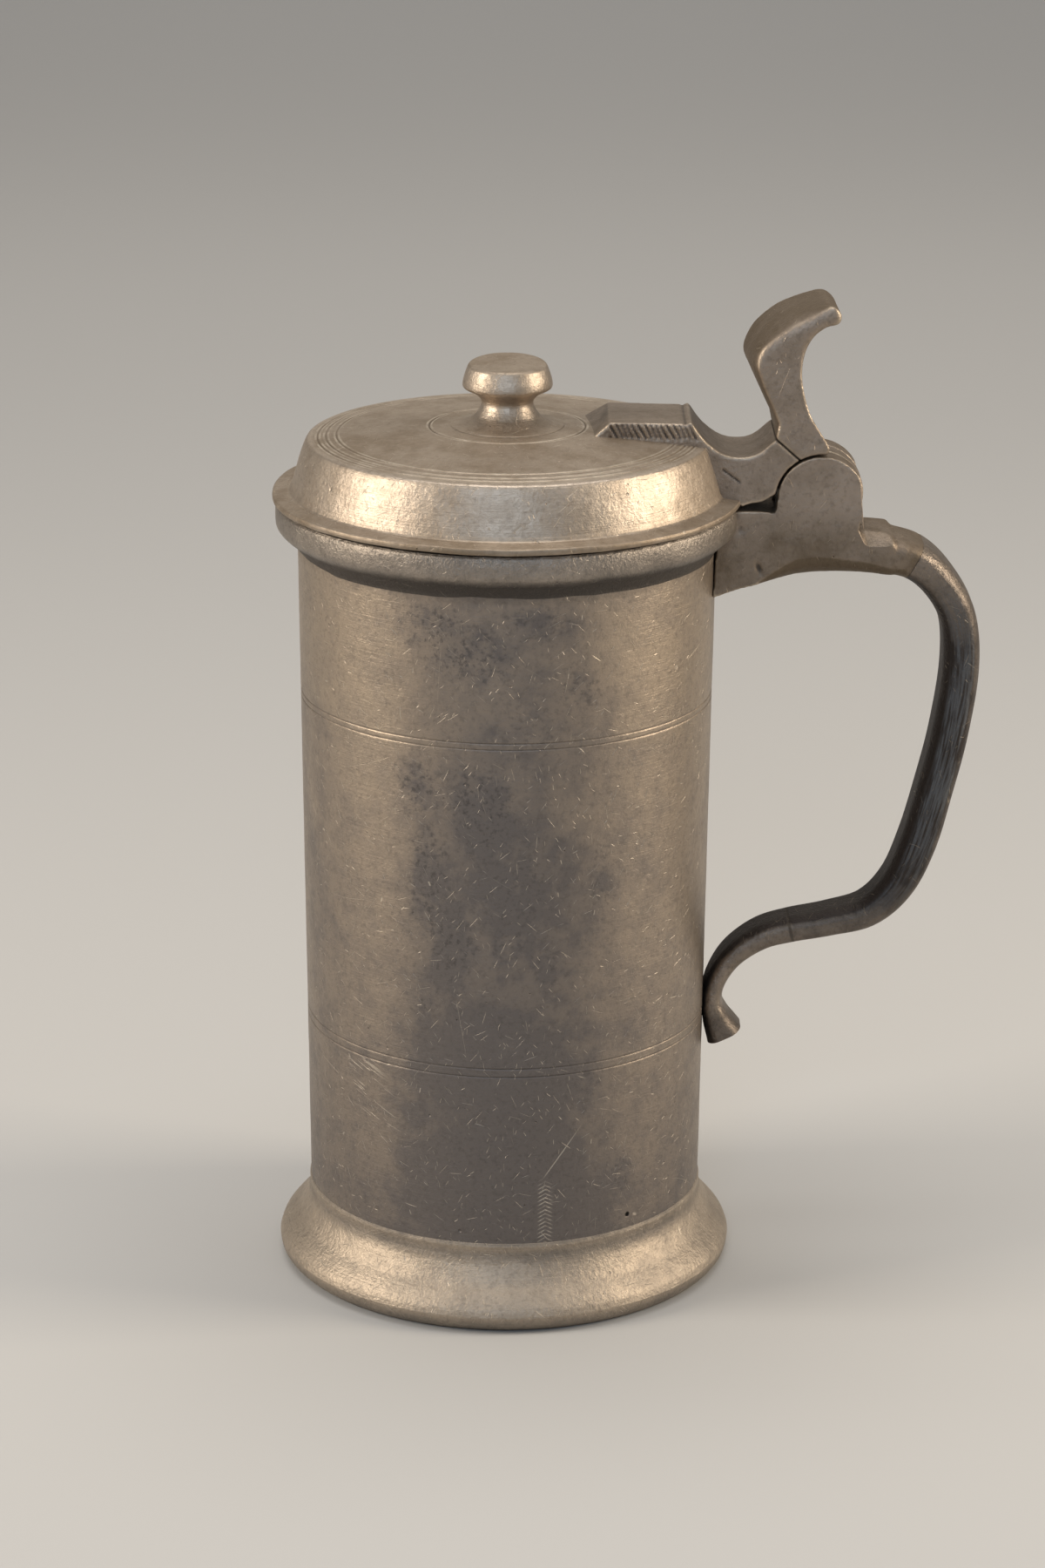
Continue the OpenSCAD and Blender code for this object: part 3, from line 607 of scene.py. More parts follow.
def prism(outline, y0, y1):
    """Shell of a side view given thickness: the outline's points at y0 and at y1, with flat ends."""
    line = np.asarray(outline, float)
    area = np.sum(line[:, 0] * np.roll(line[:, 1], -1) - np.roll(line[:, 0], -1) * line[:, 1])
    line = line if area > 0 else line[::-1]
    return lofted([side_view(line, y) for y in (y0, y1)])


def lofted(sections):
    """Shell through closed sections of equal counts, the first and the last closed flat."""
    n = len(sections[0])
    squares = ring_faces(len(sections), n, False)[:, ::-1]
    ends = [list(range(n)), list(range((len(sections) - 1) * n, len(sections) * n))[::-1]]
    return np.vstack(sections), squares, ends


def moved(piece, places):
    """Puts the piece's points at the places, in millimetres."""
    piece.data.vertices.foreach_set("co", (places * mm).ravel())
    piece.data.update()


def worn_down(piece, rounds, shares, where=1.0):
    """Evens out the skin: each round moves every point by each share of the way to its neighbours' mean."""
    p = places_of(piece)
    a, b, mean_of = edges_of(piece)
    for _ in range(rounds):
        for share in shares:
            mean = np.stack([mean_of(p[b, k], p[a, k]) for k in range(3)], -1)
            p = p + share * where * (mean - p)
    moved(piece, p)


def cast(name, shells, grain, smoothing=8):
    """One casting from overlapping shells. They are melted into one skin of squares of the grain's size,
    and it is worn smooth: each round moves a point by 0.5 of the way to its neighbours' mean, then back
    by 0.52."""
    points, squares, polygons = [], [], []
    count = 0
    for shell_points, shell_squares, ends in shells:
        points.append(shell_points)
        squares.append(shell_squares + count)
        polygons += [[k + count for k in end] for end in ends]
        count += len(shell_points)
    blank = made_mesh(name, np.vstack(points), np.vstack(squares), polygons)
    mended(blank, outwards=True)
    melt = blank.modifiers.new("melt", "REMESH")
    melt.mode = "VOXEL"
    melt.voxel_size = grain * mm
    skin = bpy.data.meshes.new_from_object(blank.evaluated_get(bpy.context.evaluated_depsgraph_get()))
    blank.modifiers.clear()
    blank.data = skin
    skin.name = name
    worn_down(blank, smoothing, (0.5, -0.52))
    shaded_smooth(skin)
    return blank


def brown_tops(piece, strength, besides=0.0):
    """Marks painted shade by facing in the patina mark: strength (1 - 1.3 |n.y|) on the skin that
    doesn't face the front or the back, or besides where that is more.
    """
    tops = strength * np.clip(1 - 1.3 * np.abs(normals_of(piece)[:, 1]), 0, 1)
    marked(piece, "patina_and_shade", np.maximum(tops, besides))


# The handle's line, from the block to the tail's tip, is worked out here because its first stretch is cast on
handle_shares = [
    [0.64, 1], [0.8, 0.98], [0.912, 0.93], [0.985, 0.86], [1, 0.758], [0.966, 0.628], [0.916, 0.517],
    [0.858, 0.408], [0.78, 0.319], [0.664, 0.262], [0.506, 0.239], [0.35, 0.224],
    [0.23, 0.206], [0.12, 0.167], [0.055, 0.117], [0.038, 0.072], [0.055, 0.036], [0.09, 0],
]
thick_shares = [
    1.05, 1.03, 0.96, 0.97, 1, 1, 1, 1.02, 0.95, 0.84, 0.76, 0.74, 0.69, 0.61, 0.54, 0.56, 0.74, 1,
]
handle_t, handle_w, tail_w, seam_place = 9.0, 18.0, 13.0, 11
handle_steps, handle_reach_x, tail_tip_z = 14, 109.4, 57
section_corners = np.array([
    [0.58, 1], [1, 0.64], [1, -0.58], [0.62, -1], [-0.62, -1], [-1, -0.58], [-1, 0.64], [-0.58, 1],
])
section_round = 1.7
handle_low = [drum_r(tail_tip_z), tail_tip_z]
handle_high = [handle_reach_x, (block_top_z + arm_end_z) / 2]
handle_line = smooth_line(stretched(handle_shares, handle_low, handle_high), handle_steps)
widths = handle_w + (tail_w - handle_w) * np.minimum(1, np.arange(len(handle_shares)) / seam_place)
handle_widths = smooth_line(widths[:, None], handle_steps)[:, 0]

# Towards the block the handle widens to the hinge's width
at_block = ramp(handle_line[:, 0], 103, -9) * (handle_line[:, 1] > 170)
handle_widths += (hinge_w - handle_w) * at_block
handle_thicks = smooth_line(handle_t * np.array(thick_shares)[:, None], handle_steps)[:, 0]


def directions(line):
    """The line's direction at each of its places."""
    ahead = np.gradient(line, axis=0)
    return ahead / np.linalg.norm(ahead, axis=1)[:, None]


def strap_sections(wides, thicks):
    """Places across and through the strap's eight-sided section, its corners rounded, one section a row."""
    radii = np.full(len(section_corners), section_round)
    return np.stack([rounded(section_corners * [w / 2, t / 2], radii) for w, t in zip(wides, thicks)])


# The arm, with cheeks and block: side views given thickness, and a rounded band along the lower edges
under_shares = [[0, 0], [0.2, 0.5], [0.5, 0.95], [0.78, 1.05], [1, 0.9]]
arm_under = smooth_line(stretched(under_shares, [49.1, 171], [arm_end_x, arm_end_z]), 6)
worn_x = arm_under[round_start:, 0]
grows = np.clip((worn_x - worn_x[0]) / 9, 0.06, 1)**0.7
rounding = arm_round * grows * (1 - 0.45 * ramp(worn_x, 74, 18))
above = arm_under[round_start:] + np.stack([0 * rounding, 1.2 * rounding], -1)
block = np.array([
    [arm_end_x, block_top_z - 1.5], [block_end_x, block_top_z], [hinge_x + 9.05, block_top_z + 1.04],
])
arm_top = np.array([[hinge_x - turn_r, 191.8], [60.0, arm_top_z], [50.2, arm_top_z]])
cheek_sides = [[hinge_x + hinge_r, hinge_z], [hinge_x - hinge_r, hinge_z]]
knuckle_hollow = arc([hinge_x, hinge_z], turn_r, -40.4, -163.5)
lower_line = np.vstack([arm_under[:round_start + 1], above])
cheek_line = np.vstack([lower_line, block, cheek_sides, arm_top])
middle_line = np.vstack([lower_line, block, knuckle_hollow, arm_top])
disc_line = arc([hinge_x, hinge_z], hinge_r, 0, 357, 120)
half, slot = hinge_w / 2, slot_w / 2
shells = [prism(middle_line, -half, half)]
for y0, y1 in ((-half, -slot), (slot, half)):
    shells += [prism(cheek_line, y0, y1), prism(disc_line, y0, y1)]
edge_steps = np.array([[0.83, 0], [0.55, 0.14], [0.26, 0.41], [0.08, 0.72], [0, 1], [0, 1.5]])
in_by = np.outer(rounding, edge_steps[:, 0])
up_by = np.outer(rounding, edge_steps[:, 1]) + [0, 0, 0, 0, 0, 0.8]
band_y = np.hstack([half - in_by, in_by[:, ::-1] - half])
band_z = arm_under[round_start:, 1:] + np.hstack([up_by, up_by[:, ::-1]])
band_x = np.broadcast_to(worn_x[:, None], band_y.shape)
shells.append(lofted(list(np.stack([band_x, band_y, band_z], -1))))

# The neck: the handle's first stretch, cast with the block and 1 in 50 narrower where the grip goes over it
neck_start = int(np.argmax(handle_line[:, 0] > arm_end_x - 3))
neck = slice(neck_start, int(np.argmax(handle_line[:, 0] > grip_start_x + 2)))
neck_line, ahead = handle_line[neck], directions(handle_line[neck])
narrowed = 1 - 0.02 * ramp(neck_line[:, :1], grip_start_x, 0.6)
shape = strap_sections(handle_widths[neck], handle_thicks[neck]) * narrowed[..., None]
neck_x = neck_line[:, :1] - ahead[:, 1:] * shape[..., 1]
neck_z = neck_line[:, 1:] + ahead[:, :1] * shape[..., 1]
shells.append(lofted(list(np.stack([neck_x, shape[..., 0], neck_z], -1))))
bracket_casting = cast("bracket_casting", shells, bracket_grain)

# Filing and wear: the arm's back follows the drum, the block's shoulders slope and its step is rubbed soft
p = places_of(bracket_casting)
x, y, z = p.T
inside_wall = np.maximum(48.8 / np.maximum(np.hypot(x, y), 1), 1)
p[:, :2] *= inside_wall[:, None]
shoulder = block_top_z + 0.6 - 3.2 * ramp(np.abs(y), 6.4, 3.6)**1.3
on_block = ramp(x, 83.6, 1.5) * ramp(x, arm_end_x + 2.5, -4)
z -= on_block * np.maximum(z - shoulder, 0) * (z > 180)
moved(bracket_casting, p)
near_block = ramp(x, 83, 4) * ramp(x, 98.5, -3)
worn_down(bracket_casting, 14, (0.5,), near_block[:, None])
p = places_of(bracket_casting)
x, y, z = p.T
# Painted shade under the arm's rounded lower edge, and a darker tone lower down and towards the block
low_edge = np.interp(x, arm_under[:, 0], arm_under[:, 1])
bevel = np.interp(x, worn_x, rounding)
on_arm = (x > 60) * (x < arm_end_x + 3)
shade_under_arm = 0.85 * ramp(z - low_edge, bevel + 0.4, -0.9) * on_arm
low_face = 0.4 * ramp(z, 193, -8) + 0.35 * ramp(x, 88, 11)

# A pit and a notch in the arm's front, and shallow dents on both flanks
pit = 0.45 * hump(x, 55.2, 1.0) * hump(z, 188.0, 1.3) * (y < -8.5)
notch_x = 60.0 + 0.3 * (178 - z)
notch = 0.8 * hump(x, notch_x, 0.6) * hump(z, 178.4, 1.3) * (y < -7)
dents = thrown(x / 9, z * 2.2, 0.1, 21) * (np.abs(y) > 9.2)
y += 0.9 * pit + 0.9 * notch - np.sign(y) * np.abs(dents)
moved(bracket_casting, p)
# The skin that faces neither front nor back is painted browner and darker by facing, as shade, with the shade
# under the arm added
brown_tops(bracket_casting, 0.55, np.maximum(shade_under_arm, low_face))
worn_marks(bracket_casting, sharp=0.42, seam=0.8 * np.maximum(pit, notch))
hinge_finish = pewter(
    "hinge_pewter", clean=(0.38, 0.315, 0.26), dull=(0.15, 0.113, 0.076), bright=(0.70, 0.59, 0.45),
    roughness=0.45, turned_marks=0.0, grain=1.5,
    dull_level=0.52, scratch_share=0.2, edge_share=0.35)
finished(bracket_casting, hinge_finish, "vessel", "dark_pewter", "hinge_bracket")

# The handle: a cast strap of eight-sided section that leaves the block level, turns down and curls back.
# Its inner side and its middle stretch are painted darker as shade, its flank has a painted cool sheen half
# way up, and the grip ends at a soldered seam.
seam_step = seam_place * handle_steps
grip = slice(int(np.argmax(handle_line[:, 0] > grip_start_x)), seam_step + 1)


def strap(name, line, wides, thicks):
    """A strap carried along a line in X and Z: at each place the section stands across the line's direction,
    and its two ends are closed with a shrinking, slightly domed row of rings."""
    shape, ahead = strap_sections(wides, thicks), directions(line)
    shrunk = (1 - np.array([0.02, 0.3, 0.7, 1.0]))[:, None]
    out = np.array([0.08, 0.1, 0.11, 0.12])[:, None]
    y, n = shape[..., 0], shape[..., 1]
    x = line[:, :1] - ahead[:, 1:] * n
    z = line[:, 1:] + ahead[:, :1] * n

    def cap(k, sign):
        """Rings that close an end: shrunk to the middle and pushed out along the line."""
        cap_x = line[k, 0] - ahead[k, 1] * n[k] * shrunk + sign * ahead[k, 0] * out
        cap_z = line[k, 1] + ahead[k, 0] * n[k] * shrunk + sign * ahead[k, 1] * out
        return cap_x, y[k] * shrunk, cap_z

    first, last = cap(0, -1), cap(-1, 1)
    grid = np.stack([np.vstack([first[i][::-1], body, last[i]]) for i, body in enumerate((x, y, z))], -1)
    piece = made_mesh(name, grid.reshape(-1, 3), ring_faces(grid.shape[0], grid.shape[1], False))
    mended(piece, merged=True, outwards=True)
    shaded_smooth(piece.data)
    return piece


def mark_facets(piece, line, thicks):
    """Marks painted shade on the inner side and half way up, darker at the curl, and, half way up, the flank
    that gets a painted sheen: with d the depth below the line's middle over half the thickness, the inner
    side is (d - 0.5) / 0.4 and the flank is (0.68 - |d|) / 0.08, both from 0 to 1. Also stores the run
    along the line and the depth, both in metres, for the sheen's streaks."""
    p = places_of(piece)[:, [0, 2]]
    nearest = np.argmin(np.sum((p[:, None] - line[None])**2, -1), 1)
    ahead = directions(line)[nearest]
    apart = p - line[nearest]
    half_thick = thicks[nearest] / 2
    depth = (apart[:, 0] * ahead[:, 1] - apart[:, 1] * ahead[:, 0]) / half_thick
    half_way = hump(p[:, 1], 132, 40, 4)
    flank = ramp(np.abs(depth), 0.68, -0.08) * half_way
    shade_on_inner_side = ramp(depth, 0.5, 0.4)
    curl = 0.4 * ramp(p[:, 1], 67, -5)
    # Painted shade on the inner side and half way up, and darker at the curl
    marked(piece, "patina_and_shade", np.clip(shade_on_inner_side + (0.7 + 0.3 * flank) * half_way + curl, 0, 0.9))
    marked(piece, "flank", flank)
    marked(piece, "depth", depth * half_thick * mm)
    runs = np.concatenate([[0], np.cumsum(np.linalg.norm(np.diff(line, axis=0), axis=1))])
    marked(piece, "run", (runs[nearest] + np.sum(apart * ahead, 1)) * mm)


def at_seam(piece):
    """1 on the soldered seam and nearly 0 from half a millimetre off it."""
    off = places_of(piece)[:, [0, 2]] - handle_line[seam_step]
    ahead = handle_line[seam_step + 1] - handle_line[seam_step - 1]
    return hump(off @ ahead / np.linalg.norm(ahead), 0, 0.35) * (np.linalg.norm(off, axis=1) < 8)


grip_strap = strap("grip_strap", handle_line[grip], handle_widths[grip], handle_thicks[grip])
mark_facets(grip_strap, handle_line[grip], handle_thicks[grip])
worn_marks(grip_strap, sharp=0.5, rounds=2, seam=0.9 * at_seam(grip_strap))
# The flank colour is a painted cool sheen
handle_finish = pewter(
    "handle_pewter", clean=(0.30, 0.25, 0.205), dull=(0.042, 0.034, 0.03), bright=(0.50, 0.41, 0.30),
    turned_marks=0.0, grain=2.2, dull_level=0.52,
    scratch_share=0.35, pit_share=0.35, edge_share=0.35, flank_sheen=(0.115, 0.118, 0.124))
finished(grip_strap, handle_finish, "vessel", "dark_pewter", "handle_grip")

# The tail: the handle's curled end, cast apart and joined at the seam. It touches the drum and turns out
# at its tip, and a hairline shows where the solder has cracked.
tail = slice(seam_step, None)
tail_scroll = strap("tail_scroll", handle_line[tail], handle_widths[tail], handle_thicks[tail])
mark_facets(tail_scroll, handle_line[tail], handle_thicks[tail])
worn_marks(tail_scroll, sharp=0.5, rounds=2, seam=0.9 * at_seam(tail_scroll))
finished(tail_scroll, handle_finish, "vessel", "dark_pewter", "handle_tail")

# The hinge pin and its plugs: a drawn brass wire through cheeks and knuckle, closed with pewter at both ends.
# They are the CAD's own solids, because nothing of them shows but a hairline.
brass, tree, skin = new_material("pin_brass")
place = node(tree, "ShaderNodeTexCoord").outputs["Object"]
drawn_place = {"Vector": place, "Scale": (900.0, 40.0, 900.0)}
drawn_place = node(tree, "ShaderNodeMapping", drawn_place).outputs[0]
tarnish = placed(clouds, place, Size=0.003, Level=0.5, Edge=0.12)
brass_colour = mixed(tarnish, (0.55, 0.42, 0.22), (0.2, 0.15, 0.09))
brass_rough = plus(0.25, times(noise(drawn_place, 1.0, 3.0), 0.3))
tree.links.new(brass_colour, skin["Base Color"])
tree.links.new(brass_rough, skin["Roughness"])
skin["Metallic"].default_value = 1.0
for name, finish in (("hinge_pin", brass), ("pin_plugs", hinge_finish)):
    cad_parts[name].data.materials.clear()
    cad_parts[name].data.materials.append(finish)

# The lid's cover: cast and turned, with a flat flange over the lip, a steep side and a low domed top.
# Fine lines are turned near the crease and round the knob, and the flange's edge is knocked uneven.
flange_r, flange_z, flange_top = 56.1, 193.2, 194.9
side_foot, crease, dome_rise = (51.4, 196.6), (47.5, 207.7), 3.4
lid_cuts = (45.1, 43.1, 40.6, 18.6)
spigot_r, lid_wall = 2.65, 2.0
lid_inside_r, bezel_seat_r = 49.4, 49.8


def dome_z(r):
    """Height of the lid's domed top at a radius: it falls with the square of the radius to the crease."""
    return crease[1] + dome_rise * (1 - r * r / crease[0]**2)


side_shares = [[0, 0], [0.2, 0.25], [0.5, 0.6], [0.78, 0.88], [0.93, 0.98]]
side_line = smooth_line(stretched(side_shares, side_foot, crease), 8)
flange_line = smooth_line([
    [55.2, flange_z], [55.9, flange_z + 0.15], [flange_r, flange_z + 0.75], [55.95, flange_top - 0.25],
    [55.3, flange_top - 0.02], [53.6, flange_top + 0.25], [52.1, flange_top + 0.7],
    [51.5, side_foot[1] - 0.15],
], 5)
top_r = np.concatenate([np.linspace(spigot_r, 46.9, 60), beside(lid_cuts, 1.0, 15)])
top_r = np.unique(top_r.round(3))[::-1]
top_z = dome_z(top_r) + sum(1.5 * cut_line(top_r - r) for r in lid_cuts)
roof_r = np.linspace(spigot_r, crease[0] - 2.4, 40)
inner_line = [
    [46.6, 203.5], [49.2, 197.0], [lid_inside_r, 196.0], [lid_inside_r, flange_z + 0.2],
    [bezel_seat_r, flange_z],
]
cover_outline = np.vstack([
    flange_line, side_line, [[47.3, 207.72]], np.stack([top_r, top_z], -1),
    np.stack([roof_r, dome_z(roof_r) - lid_wall], -1), inner_line,
])
cover = turned("cover", cover_outline, around=256, uneven=0.09, seed=3)
p = places_of(cover)
x, y, z = p.T
r = np.hypot(x, y)
angle = np.arctan2(y, x)
z += np.where(r > 52.5, np.abs(thrown(angle, 0 * r, 0.36, 17)), 0)
moved(cover, p)
above_crease = z > crease[1] - 0.5
on_top = 0.62 * ramp(r, crease[0] - 0.6, -1.2) * above_crease
on_flange = 0.16 + 0.46 * ramp(r, side_foot[0] - 0.3, 1.5)
marked(cover, "patina_and_shade", np.maximum(on_top, on_flange))
# Painted highlights on the turned rings' beads, given to the worn mark as brightening
bead_highlights = sum(hump(np.abs(r - cut), 0.5, 0.3) for cut in lid_cuts) * above_crease
worn_marks(cover, sharp=0.5, rounds=2, brightened=0.9 * bead_highlights)
lid_finish = pewter(
    "lid_pewter", clean=(0.57, 0.485, 0.40), dull=(0.245, 0.19, 0.135), bright=(0.84, 0.75, 0.62),
    roughness=0.41, grain=1.15, turned_marks=0.6,
    scratch_share=0.4, dent_share=0.4)
finished(cover, lid_finish, "lid", "pewter", "lid_cover")

# The locating ring: a plain turned hoop inside the lid, which drops into the mouth and centres the lid.
# Its lower edge is worn round where it meets the drum.
ring_r, ring_low, ring_wall, ring_seat_r = 47.5, 189.6, 2.0, 49.35
hoop_corners = [
    [ring_r - ring_wall, ring_low], [ring_r, ring_low], [ring_r, flange_z], [ring_seat_r, flange_z],
    [ring_seat_r, flange_top], [ring_r - ring_wall, flange_top],
]
hoop_outline = rounded(hoop_corners, [0.5, 0.7, 0.1, 0.2, 0.2, 0.3])
locating_hoop = turned("locating_hoop", hoop_outline, around=200, uneven=0.05, seed=4)
worn_marks(locating_hoop, sharp=0.8)
finished(locating_hoop, under_finish, "lid", "dark_pewter", "lid_bezel")

# The knob: turned from the solid, with a thin spreading foot, a waisted neck and a cap worn aslant on top.
# Its spigot goes through the lid's middle and is riveted over below.
knob_foot_r, cap_r, knob_h, neck_r = 13.6, 10.7, 14.8, 6.2
knob_foot_z = dome_z(knob_foot_r)
knob_top_z = knob_foot_z + knob_h
knob_shares = [
    [0.95, 0.06], [0.72, 0.165], [neck_r / cap_r, 0.35], [0.63, 0.46], [0.79, 0.55], [0.94, 0.6],
    [0.99, 0.635], [1, 0.68], [0.975, 0.78], [0.905, 0.92], [0.87, 0.963], [0.82, 0.98], [0.7, 0.985], [0, 1],
]
knob_side = stretched(knob_shares, [0, knob_foot_z], [cap_r, knob_top_z])
foot_edge = [[13.5, knob_foot_z + 0.16], [12.7, knob_foot_z + 0.34]]
knob_line = smooth_line(np.vstack([foot_edge, knob_side]), 8)
knob_line[-1, 0] = 0
spigot_line = [[0, 209.05], [2.2, 209.1], [2.6, 209.3], [2.6, 211.0]]
on_dome = [[5, dome_z(5) + 0.02], [10, dome_z(10) + 0.02], [knob_foot_r, knob_foot_z + 0.04]]
knob_outline = np.vstack([spigot_line, on_dome, knob_line])
turned_knob = turned("turned_knob", knob_outline, around=144, uneven=0.05, seed=6, closed=False)
p = places_of(turned_knob)
x, y, z = p.T
at_foot = 0.42 * ramp(z, knob_foot_z + 3, -2)
at_top = 0.42 * ramp(z, knob_top_z - 1, 0.6)
z += 0.1 * ramp(z, knob_top_z - 3.2, 2.6) * np.maximum(y + 1, 0)
moved(turned_knob, p)
marked(turned_knob, "patina_and_shade", 0.2 + at_foot + at_top)
worn_marks(turned_knob, sharp=0.9, rounds=2)
finished(turned_knob, lid_finish, "lid", "pewter", "knob")

# The lid's strap: one casting that lies on the lid, dips in a saddle and ends in the hinge's middle knuckle.
# Its front side is hatched with a graver near the nose, and a crack runs down its flank beside the lid.
strap_top, strap_nose_x, strap_grain = 213.6, 20.0, 0.36
strap_y0, strap_y1, knuckle = -10.0, 12.0, 3.2
hatch_x0, hatch_x1, hatch_pitch = 24, 45, 1.35
seam_angle, strap_end_angle = 119, 173
saddle_shares = [[-0.153, 1], [-0.033, 0.768], [0.122, 0.6], [0.276, 0.551], [0.428, 0.6], [0.588, 0.79]]
strap_foot_shares = [[0.476, -0.032], [0.375, -0.054], [0.297, -0.097], [0.145, -0.097]]
strap_top_shares = [[0, 0], [0, 0.8], [0.172, 1], [0.942, 0.985]]
saddle_low, saddle_high = [crease[0], hinge_z], [hinge_x, strap_top]
saddle = smooth_line(stretched(saddle_shares, saddle_low, saddle_high), 6)
strap_line = np.vstack([
    stretched(strap_top_shares, [strap_nose_x, hinge_z], [saddle[0, 0], strap_top]), saddle,
    arc([hinge_x, hinge_z], turn_r, seam_angle, strap_end_angle),
    stretched(strap_foot_shares, saddle_low, saddle_high),
])
nose_shift = np.where(strap_line[:, :1] < strap_nose_x + 4, [-2.4, 0], 0)
seam_ends = np.array([saddle[-1], arc([hinge_x, hinge_z], turn_r, seam_angle, seam_angle, 1)[0]])


def strap_section(y):
    """Side view of the strap at a place across it: the nose is cut off slanting, further out at the back."""
    share = (y - strap_y0) / (strap_y1 - strap_y0)
    return side_view(strap_line + nose_shift * share, y)


def near_seam(places):
    """1 on the joint with the thumbpiece and nearly 0 from half a millimetre off it."""
    ahead = (seam_ends[1] - seam_ends[0]) / np.linalg.norm(seam_ends[1] - seam_ends[0])
    off = places[:, [0, 2]] - seam_ends[0]
    return hump(off[:, 0] * ahead[1] - off[:, 1] * ahead[0], 0, 0.32) * (places[:, 0] < 70)


web_arc = arc([hinge_x, hinge_z], turn_r + 0.25, seam_angle + 3, strap_end_angle - 3)
web = np.vstack([[[hinge_x, hinge_z]], web_arc])
shells = [lofted([strap_section(y)[::-1] for y in (strap_y0, strap_y1)])]
shells += [prism(disc_line, -knuckle, knuckle), prism(web, -knuckle, knuckle)]
strap_casting = cast("strap_casting", shells, strap_grain)
worn_down(strap_casting, 4, (0.5,))
p = places_of(strap_casting)
x, y, z = p.T
r = np.hypot(x, y)
dome_places = np.array([0, 10, 20, 30, 40, crease[0]])
skin_r = [*dome_places, 49.3, 50.8, side_foot[0], 53.0, flange_r, 56.6, 58.0]
skin_z = [*dome_z(dome_places), 203.4, 198.4, side_foot[1], flange_top, flange_top, 190, 190]
z[:] = np.maximum(z, np.interp(r, skin_r, skin_z) - 0.9)
front = y < strap_y0 + 0.5

# The graver's hatching on the front, the crack, and a groove across the top
hatch_run = x + 0.5 * (z - 210) + 0.25 * np.sin(x * 0.9)
hatch = np.cos(2 * np.pi * hatch_run / hatch_pitch)
hatched = front * (x > hatch_x0) * (x < hatch_x1)
hatched = hatched * ramp(z, 209.2, 0.8) * ramp(z, 213.5, -0.5)
y += 0.5 * np.clip(hatch + 0.25, 0, 1.2) * hatched
crack = hump(z, 201.6 - 0.75 * (x - 52), 0.22) * (x > 50.8) * (x < 55.2) * front
groove = hump(x, 41.9, 0.5) * (z > 212.6)
y += 0.45 * crack
z -= 0.3 * groove
moved(strap_casting, p)
# Painted browner and darker by facing, as shade, where the skin faces neither front nor back
brown_tops(strap_casting, 0.35)
worn_marks(strap_casting, sharp=0.36, seam=np.maximum(crack, 0.9 * near_seam(p)))
finished(strap_casting, hinge_finish, "lid", "dark_pewter", "lid_strap")

# The thumbpiece: a cast lever with a full belly and a scrolled nose, soldered on the strap's end.
# It is a little askew: its back edge stands further forward and is fuller at the top than its front one.
thumb_front = [
    [64.08, 213.27], [62.97, 216.2], [61.27, 220.0], [59.92, 223.3], [58.84, 227.2], [59.8, 231.0],
    [63.3, 233.9], [67.5, 236.6], [70.8, 238.3], [73.9, 240.4], [76.2, 241.7], [78.1, 240.1], [78.4, 238.4],
    [77.4, 236.8],
]
thumb_rear = [
    [62.6, 213.3], [61.0, 216.2], [59.2, 220.0], [57.7, 223.3], [56.2, 227.0], [57.0, 230.4], [59.2, 234.0],
    [63.6, 237.7], [67.6, 239.6], [71.5, 240.9], [74.6, 241.5], [77.0, 240.0], [78.1, 237.8], [77.2, 236.6],
]
thumb_back = [
    [75.1, 236.7], [72.0, 234.4], [70.0, 231.0], [69.1, 226.9], [69.4, 222.9], [70.6, 218.1], [72.1, 214.4],
    [75.2, 209.5], [76.3, 207.4],
]
film, thumb_steps = 0.035, 5
thumb_line = np.vstack([
    [saddle[-1] + film], smooth_line(thumb_front, thumb_steps), smooth_line(thumb_back, thumb_steps),
    arc([hinge_x, hinge_z], turn_r, 84, seam_angle, 16), [seam_ends[1] + film],
])
rear_line = np.copy(thumb_line)
back_start = 1 + (len(thumb_rear) - 1) * thumb_steps + 1
rear_line[1:back_start] = smooth_line(thumb_rear, thumb_steps)
heel = ramp(rear_line[back_start:, 1], 226, -8) * (rear_line[back_start:, 1] > 206.5)
rear_line[back_start:, 0] -= 1.8 * heel


def thumb_section(y):
    """Side view of the thumbpiece at a place across it: from the front line it bevels off over 3 mm, by
    0.5 (1 - e^(-d/2.2)) of the way to the rear line, then leans evenly over the rest of its width."""
    across = y - strap_y0
    share = 0.5 * (1 - np.exp(-across / 2.2)) + 0.5 * across / (strap_y1 - strap_y0)
    return side_view(thumb_line + share * (rear_line - thumb_line), y)


places_across = strap_y0 + np.array([0, 0.7, 1.6, 2.8, 4.5, 8, 13, 18, 22])
thumb_shell = lofted([thumb_section(y)[::-1] for y in places_across])
thumb_casting = cast("thumb_casting", [thumb_shell], strap_grain, smoothing=6)
p = places_of(thumb_casting)
x, y, z = p.T
dents = np.abs(thrown(x / 8, z * 1.7, 0.12, 31)) * (np.abs(y - 1) > 10)
y += np.where(y < 0, 1, -1) * dents
moved(thumb_casting, p)
worn_down(thumb_casting, 4, (0.5,))
rubbed_nose = ramp(z, 227, 5) * ramp(y, -5, -2)
worn_down(thumb_casting, 36, (0.5,), rubbed_nose[:, None])
# Painted browner and darker by facing, as shade, where the skin faces neither front nor back
brown_tops(thumb_casting, 0.95)
worn_marks(thumb_casting, sharp=0.36, seam=0.9 * near_seam(p))
finished(thumb_casting, hinge_finish, "lid", "dark_pewter", "thumbpiece")

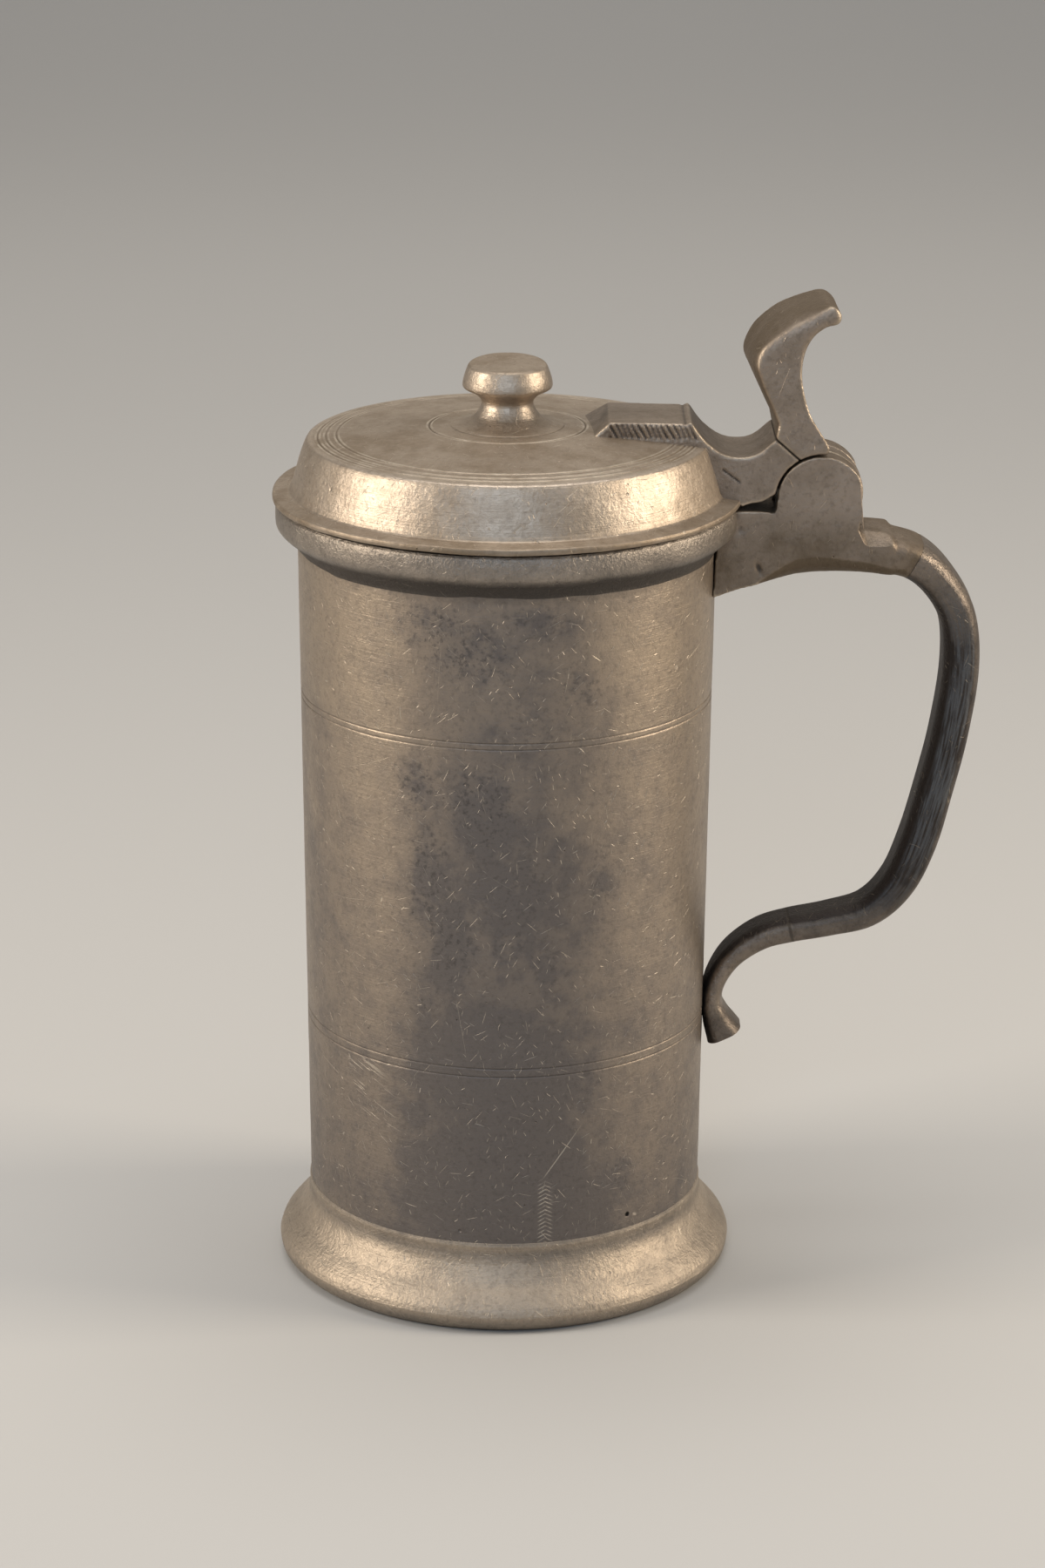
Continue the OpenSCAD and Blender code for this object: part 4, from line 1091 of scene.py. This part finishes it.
# The floor and backdrop: one pale sheet that lies under the flagon and curves up behind it, in metres.
floor_line = smooth_line([[-3.0, 0], [0.0, 0], [1.2, 0], [2.0, 0.12], [2.6, 0.7], [2.8, 1.8], [2.8, 3.5]], 12)
sheet_columns, sheet_half_width = 12, 3.5
sheet_x = np.linspace(-sheet_half_width, sheet_half_width, sheet_columns)
sheet_points = np.stack([
    np.tile(sheet_x, len(floor_line)), *np.repeat(floor_line, sheet_columns, 0).T], -1)
row, col = np.arange(len(floor_line) - 1)[:, None], np.arange(sheet_columns - 1)[None, :]
corner = (row * sheet_columns + col).ravel()
sheet_squares = np.stack([corner, corner + 1, corner + 1 + sheet_columns, corner + sheet_columns], -1)
backdrop = made_mesh("backdrop", sheet_points / mm, sheet_squares)
paper, tree, skin = new_material("pale_paper")
skin["Base Color"].default_value = (0.46, 0.452, 0.438, 1.0)
skin["Roughness"].default_value = 0.85
backdrop.data.materials.append(paper)

# The light: two warm soft boxes at the sides, a cool weaker one in front, a weak one behind and a large
# one above.


def stood(name, data, spot, turn):
    """A lamp or the camera, put into the scene at the spot and turned."""
    thing = bpy.data.objects.new(name, data)
    thing.matrix_world = Matrix.Translation(spot) @ Matrix(turn.tolist()).to_4x4()
    bpy.context.scene.collection.objects.link(thing)
    return thing


# For each: name, place, width, height, watts and colour
lamps = [
    ("left_box", (-1.15, -0.30, 0.60), 0.45, 0.6, 11.5, (1.0, 0.89, 0.75)),
    ("right_box", (1.18, -0.10, 0.58), 0.45, 0.6, 12.0, (1.0, 0.87, 0.70)),
    ("front_box", (-0.15, -1.6, 0.95), 0.5, 0.5, 5.5, (0.66, 0.81, 1.0)),
    ("back_box", (0.1, 1.6, 0.85), 1.8, 0.6, 1.8, (1.0, 0.86, 0.68)),
    ("top_box", (0.0, 0.2, 2.1), 1.6, 1.6, 26.0, (1.0, 0.97, 0.93)),
]
aim = np.array([0.0, 0.0, 0.12])
for name, spot, wide, high, power, tint in lamps:
    light = bpy.data.lights.new(name, "AREA")
    light.shape, light.size, light.size_y = "RECTANGLE", wide, high
    light.energy, light.color = power, tint
    back = np.array(spot) - aim
    back /= np.linalg.norm(back)
    side = np.cross([0, 0, 1], back)
    side /= np.linalg.norm(side)
    turn = np.stack([side, np.cross(back, side), back], -1)
    stood(name, light, spot, turn).visible_camera = False
world = bpy.data.worlds.new("room")
world.use_nodes = True
world.node_tree.nodes["Background"].inputs["Color"].default_value = (0.92, 0.95, 1.0, 1.0)
world.node_tree.nodes["Background"].inputs["Strength"].default_value = 0.24
bpy.context.scene.world = world

# The camera: a long lens a metre away, looking down by 18 degrees.
lens_place = (0, -1.010, 0.4495)
tilt, pan, roll = np.radians([18.015, 0.228, 0.296])
level = np.array([np.cos(pan), -np.sin(pan), 0])
upward = np.array([np.sin(pan) * np.sin(tilt), np.cos(pan) * np.sin(tilt), np.cos(tilt)])
view_line = np.array([np.sin(pan) * np.cos(tilt), np.cos(pan) * np.cos(tilt), -np.sin(tilt)])
rolled = np.cos(roll) * level + np.sin(roll) * upward
turn = np.stack([rolled, np.cos(roll) * upward - np.sin(roll) * level, -view_line], -1)
lens = bpy.data.cameras.new("long_lens")
lens.lens, lens.sensor_width = 100.0, 36.0
bpy.context.scene.camera = stood("camera", lens, lens_place, turn)
bpy.context.scene.view_settings.view_transform = "Standard"
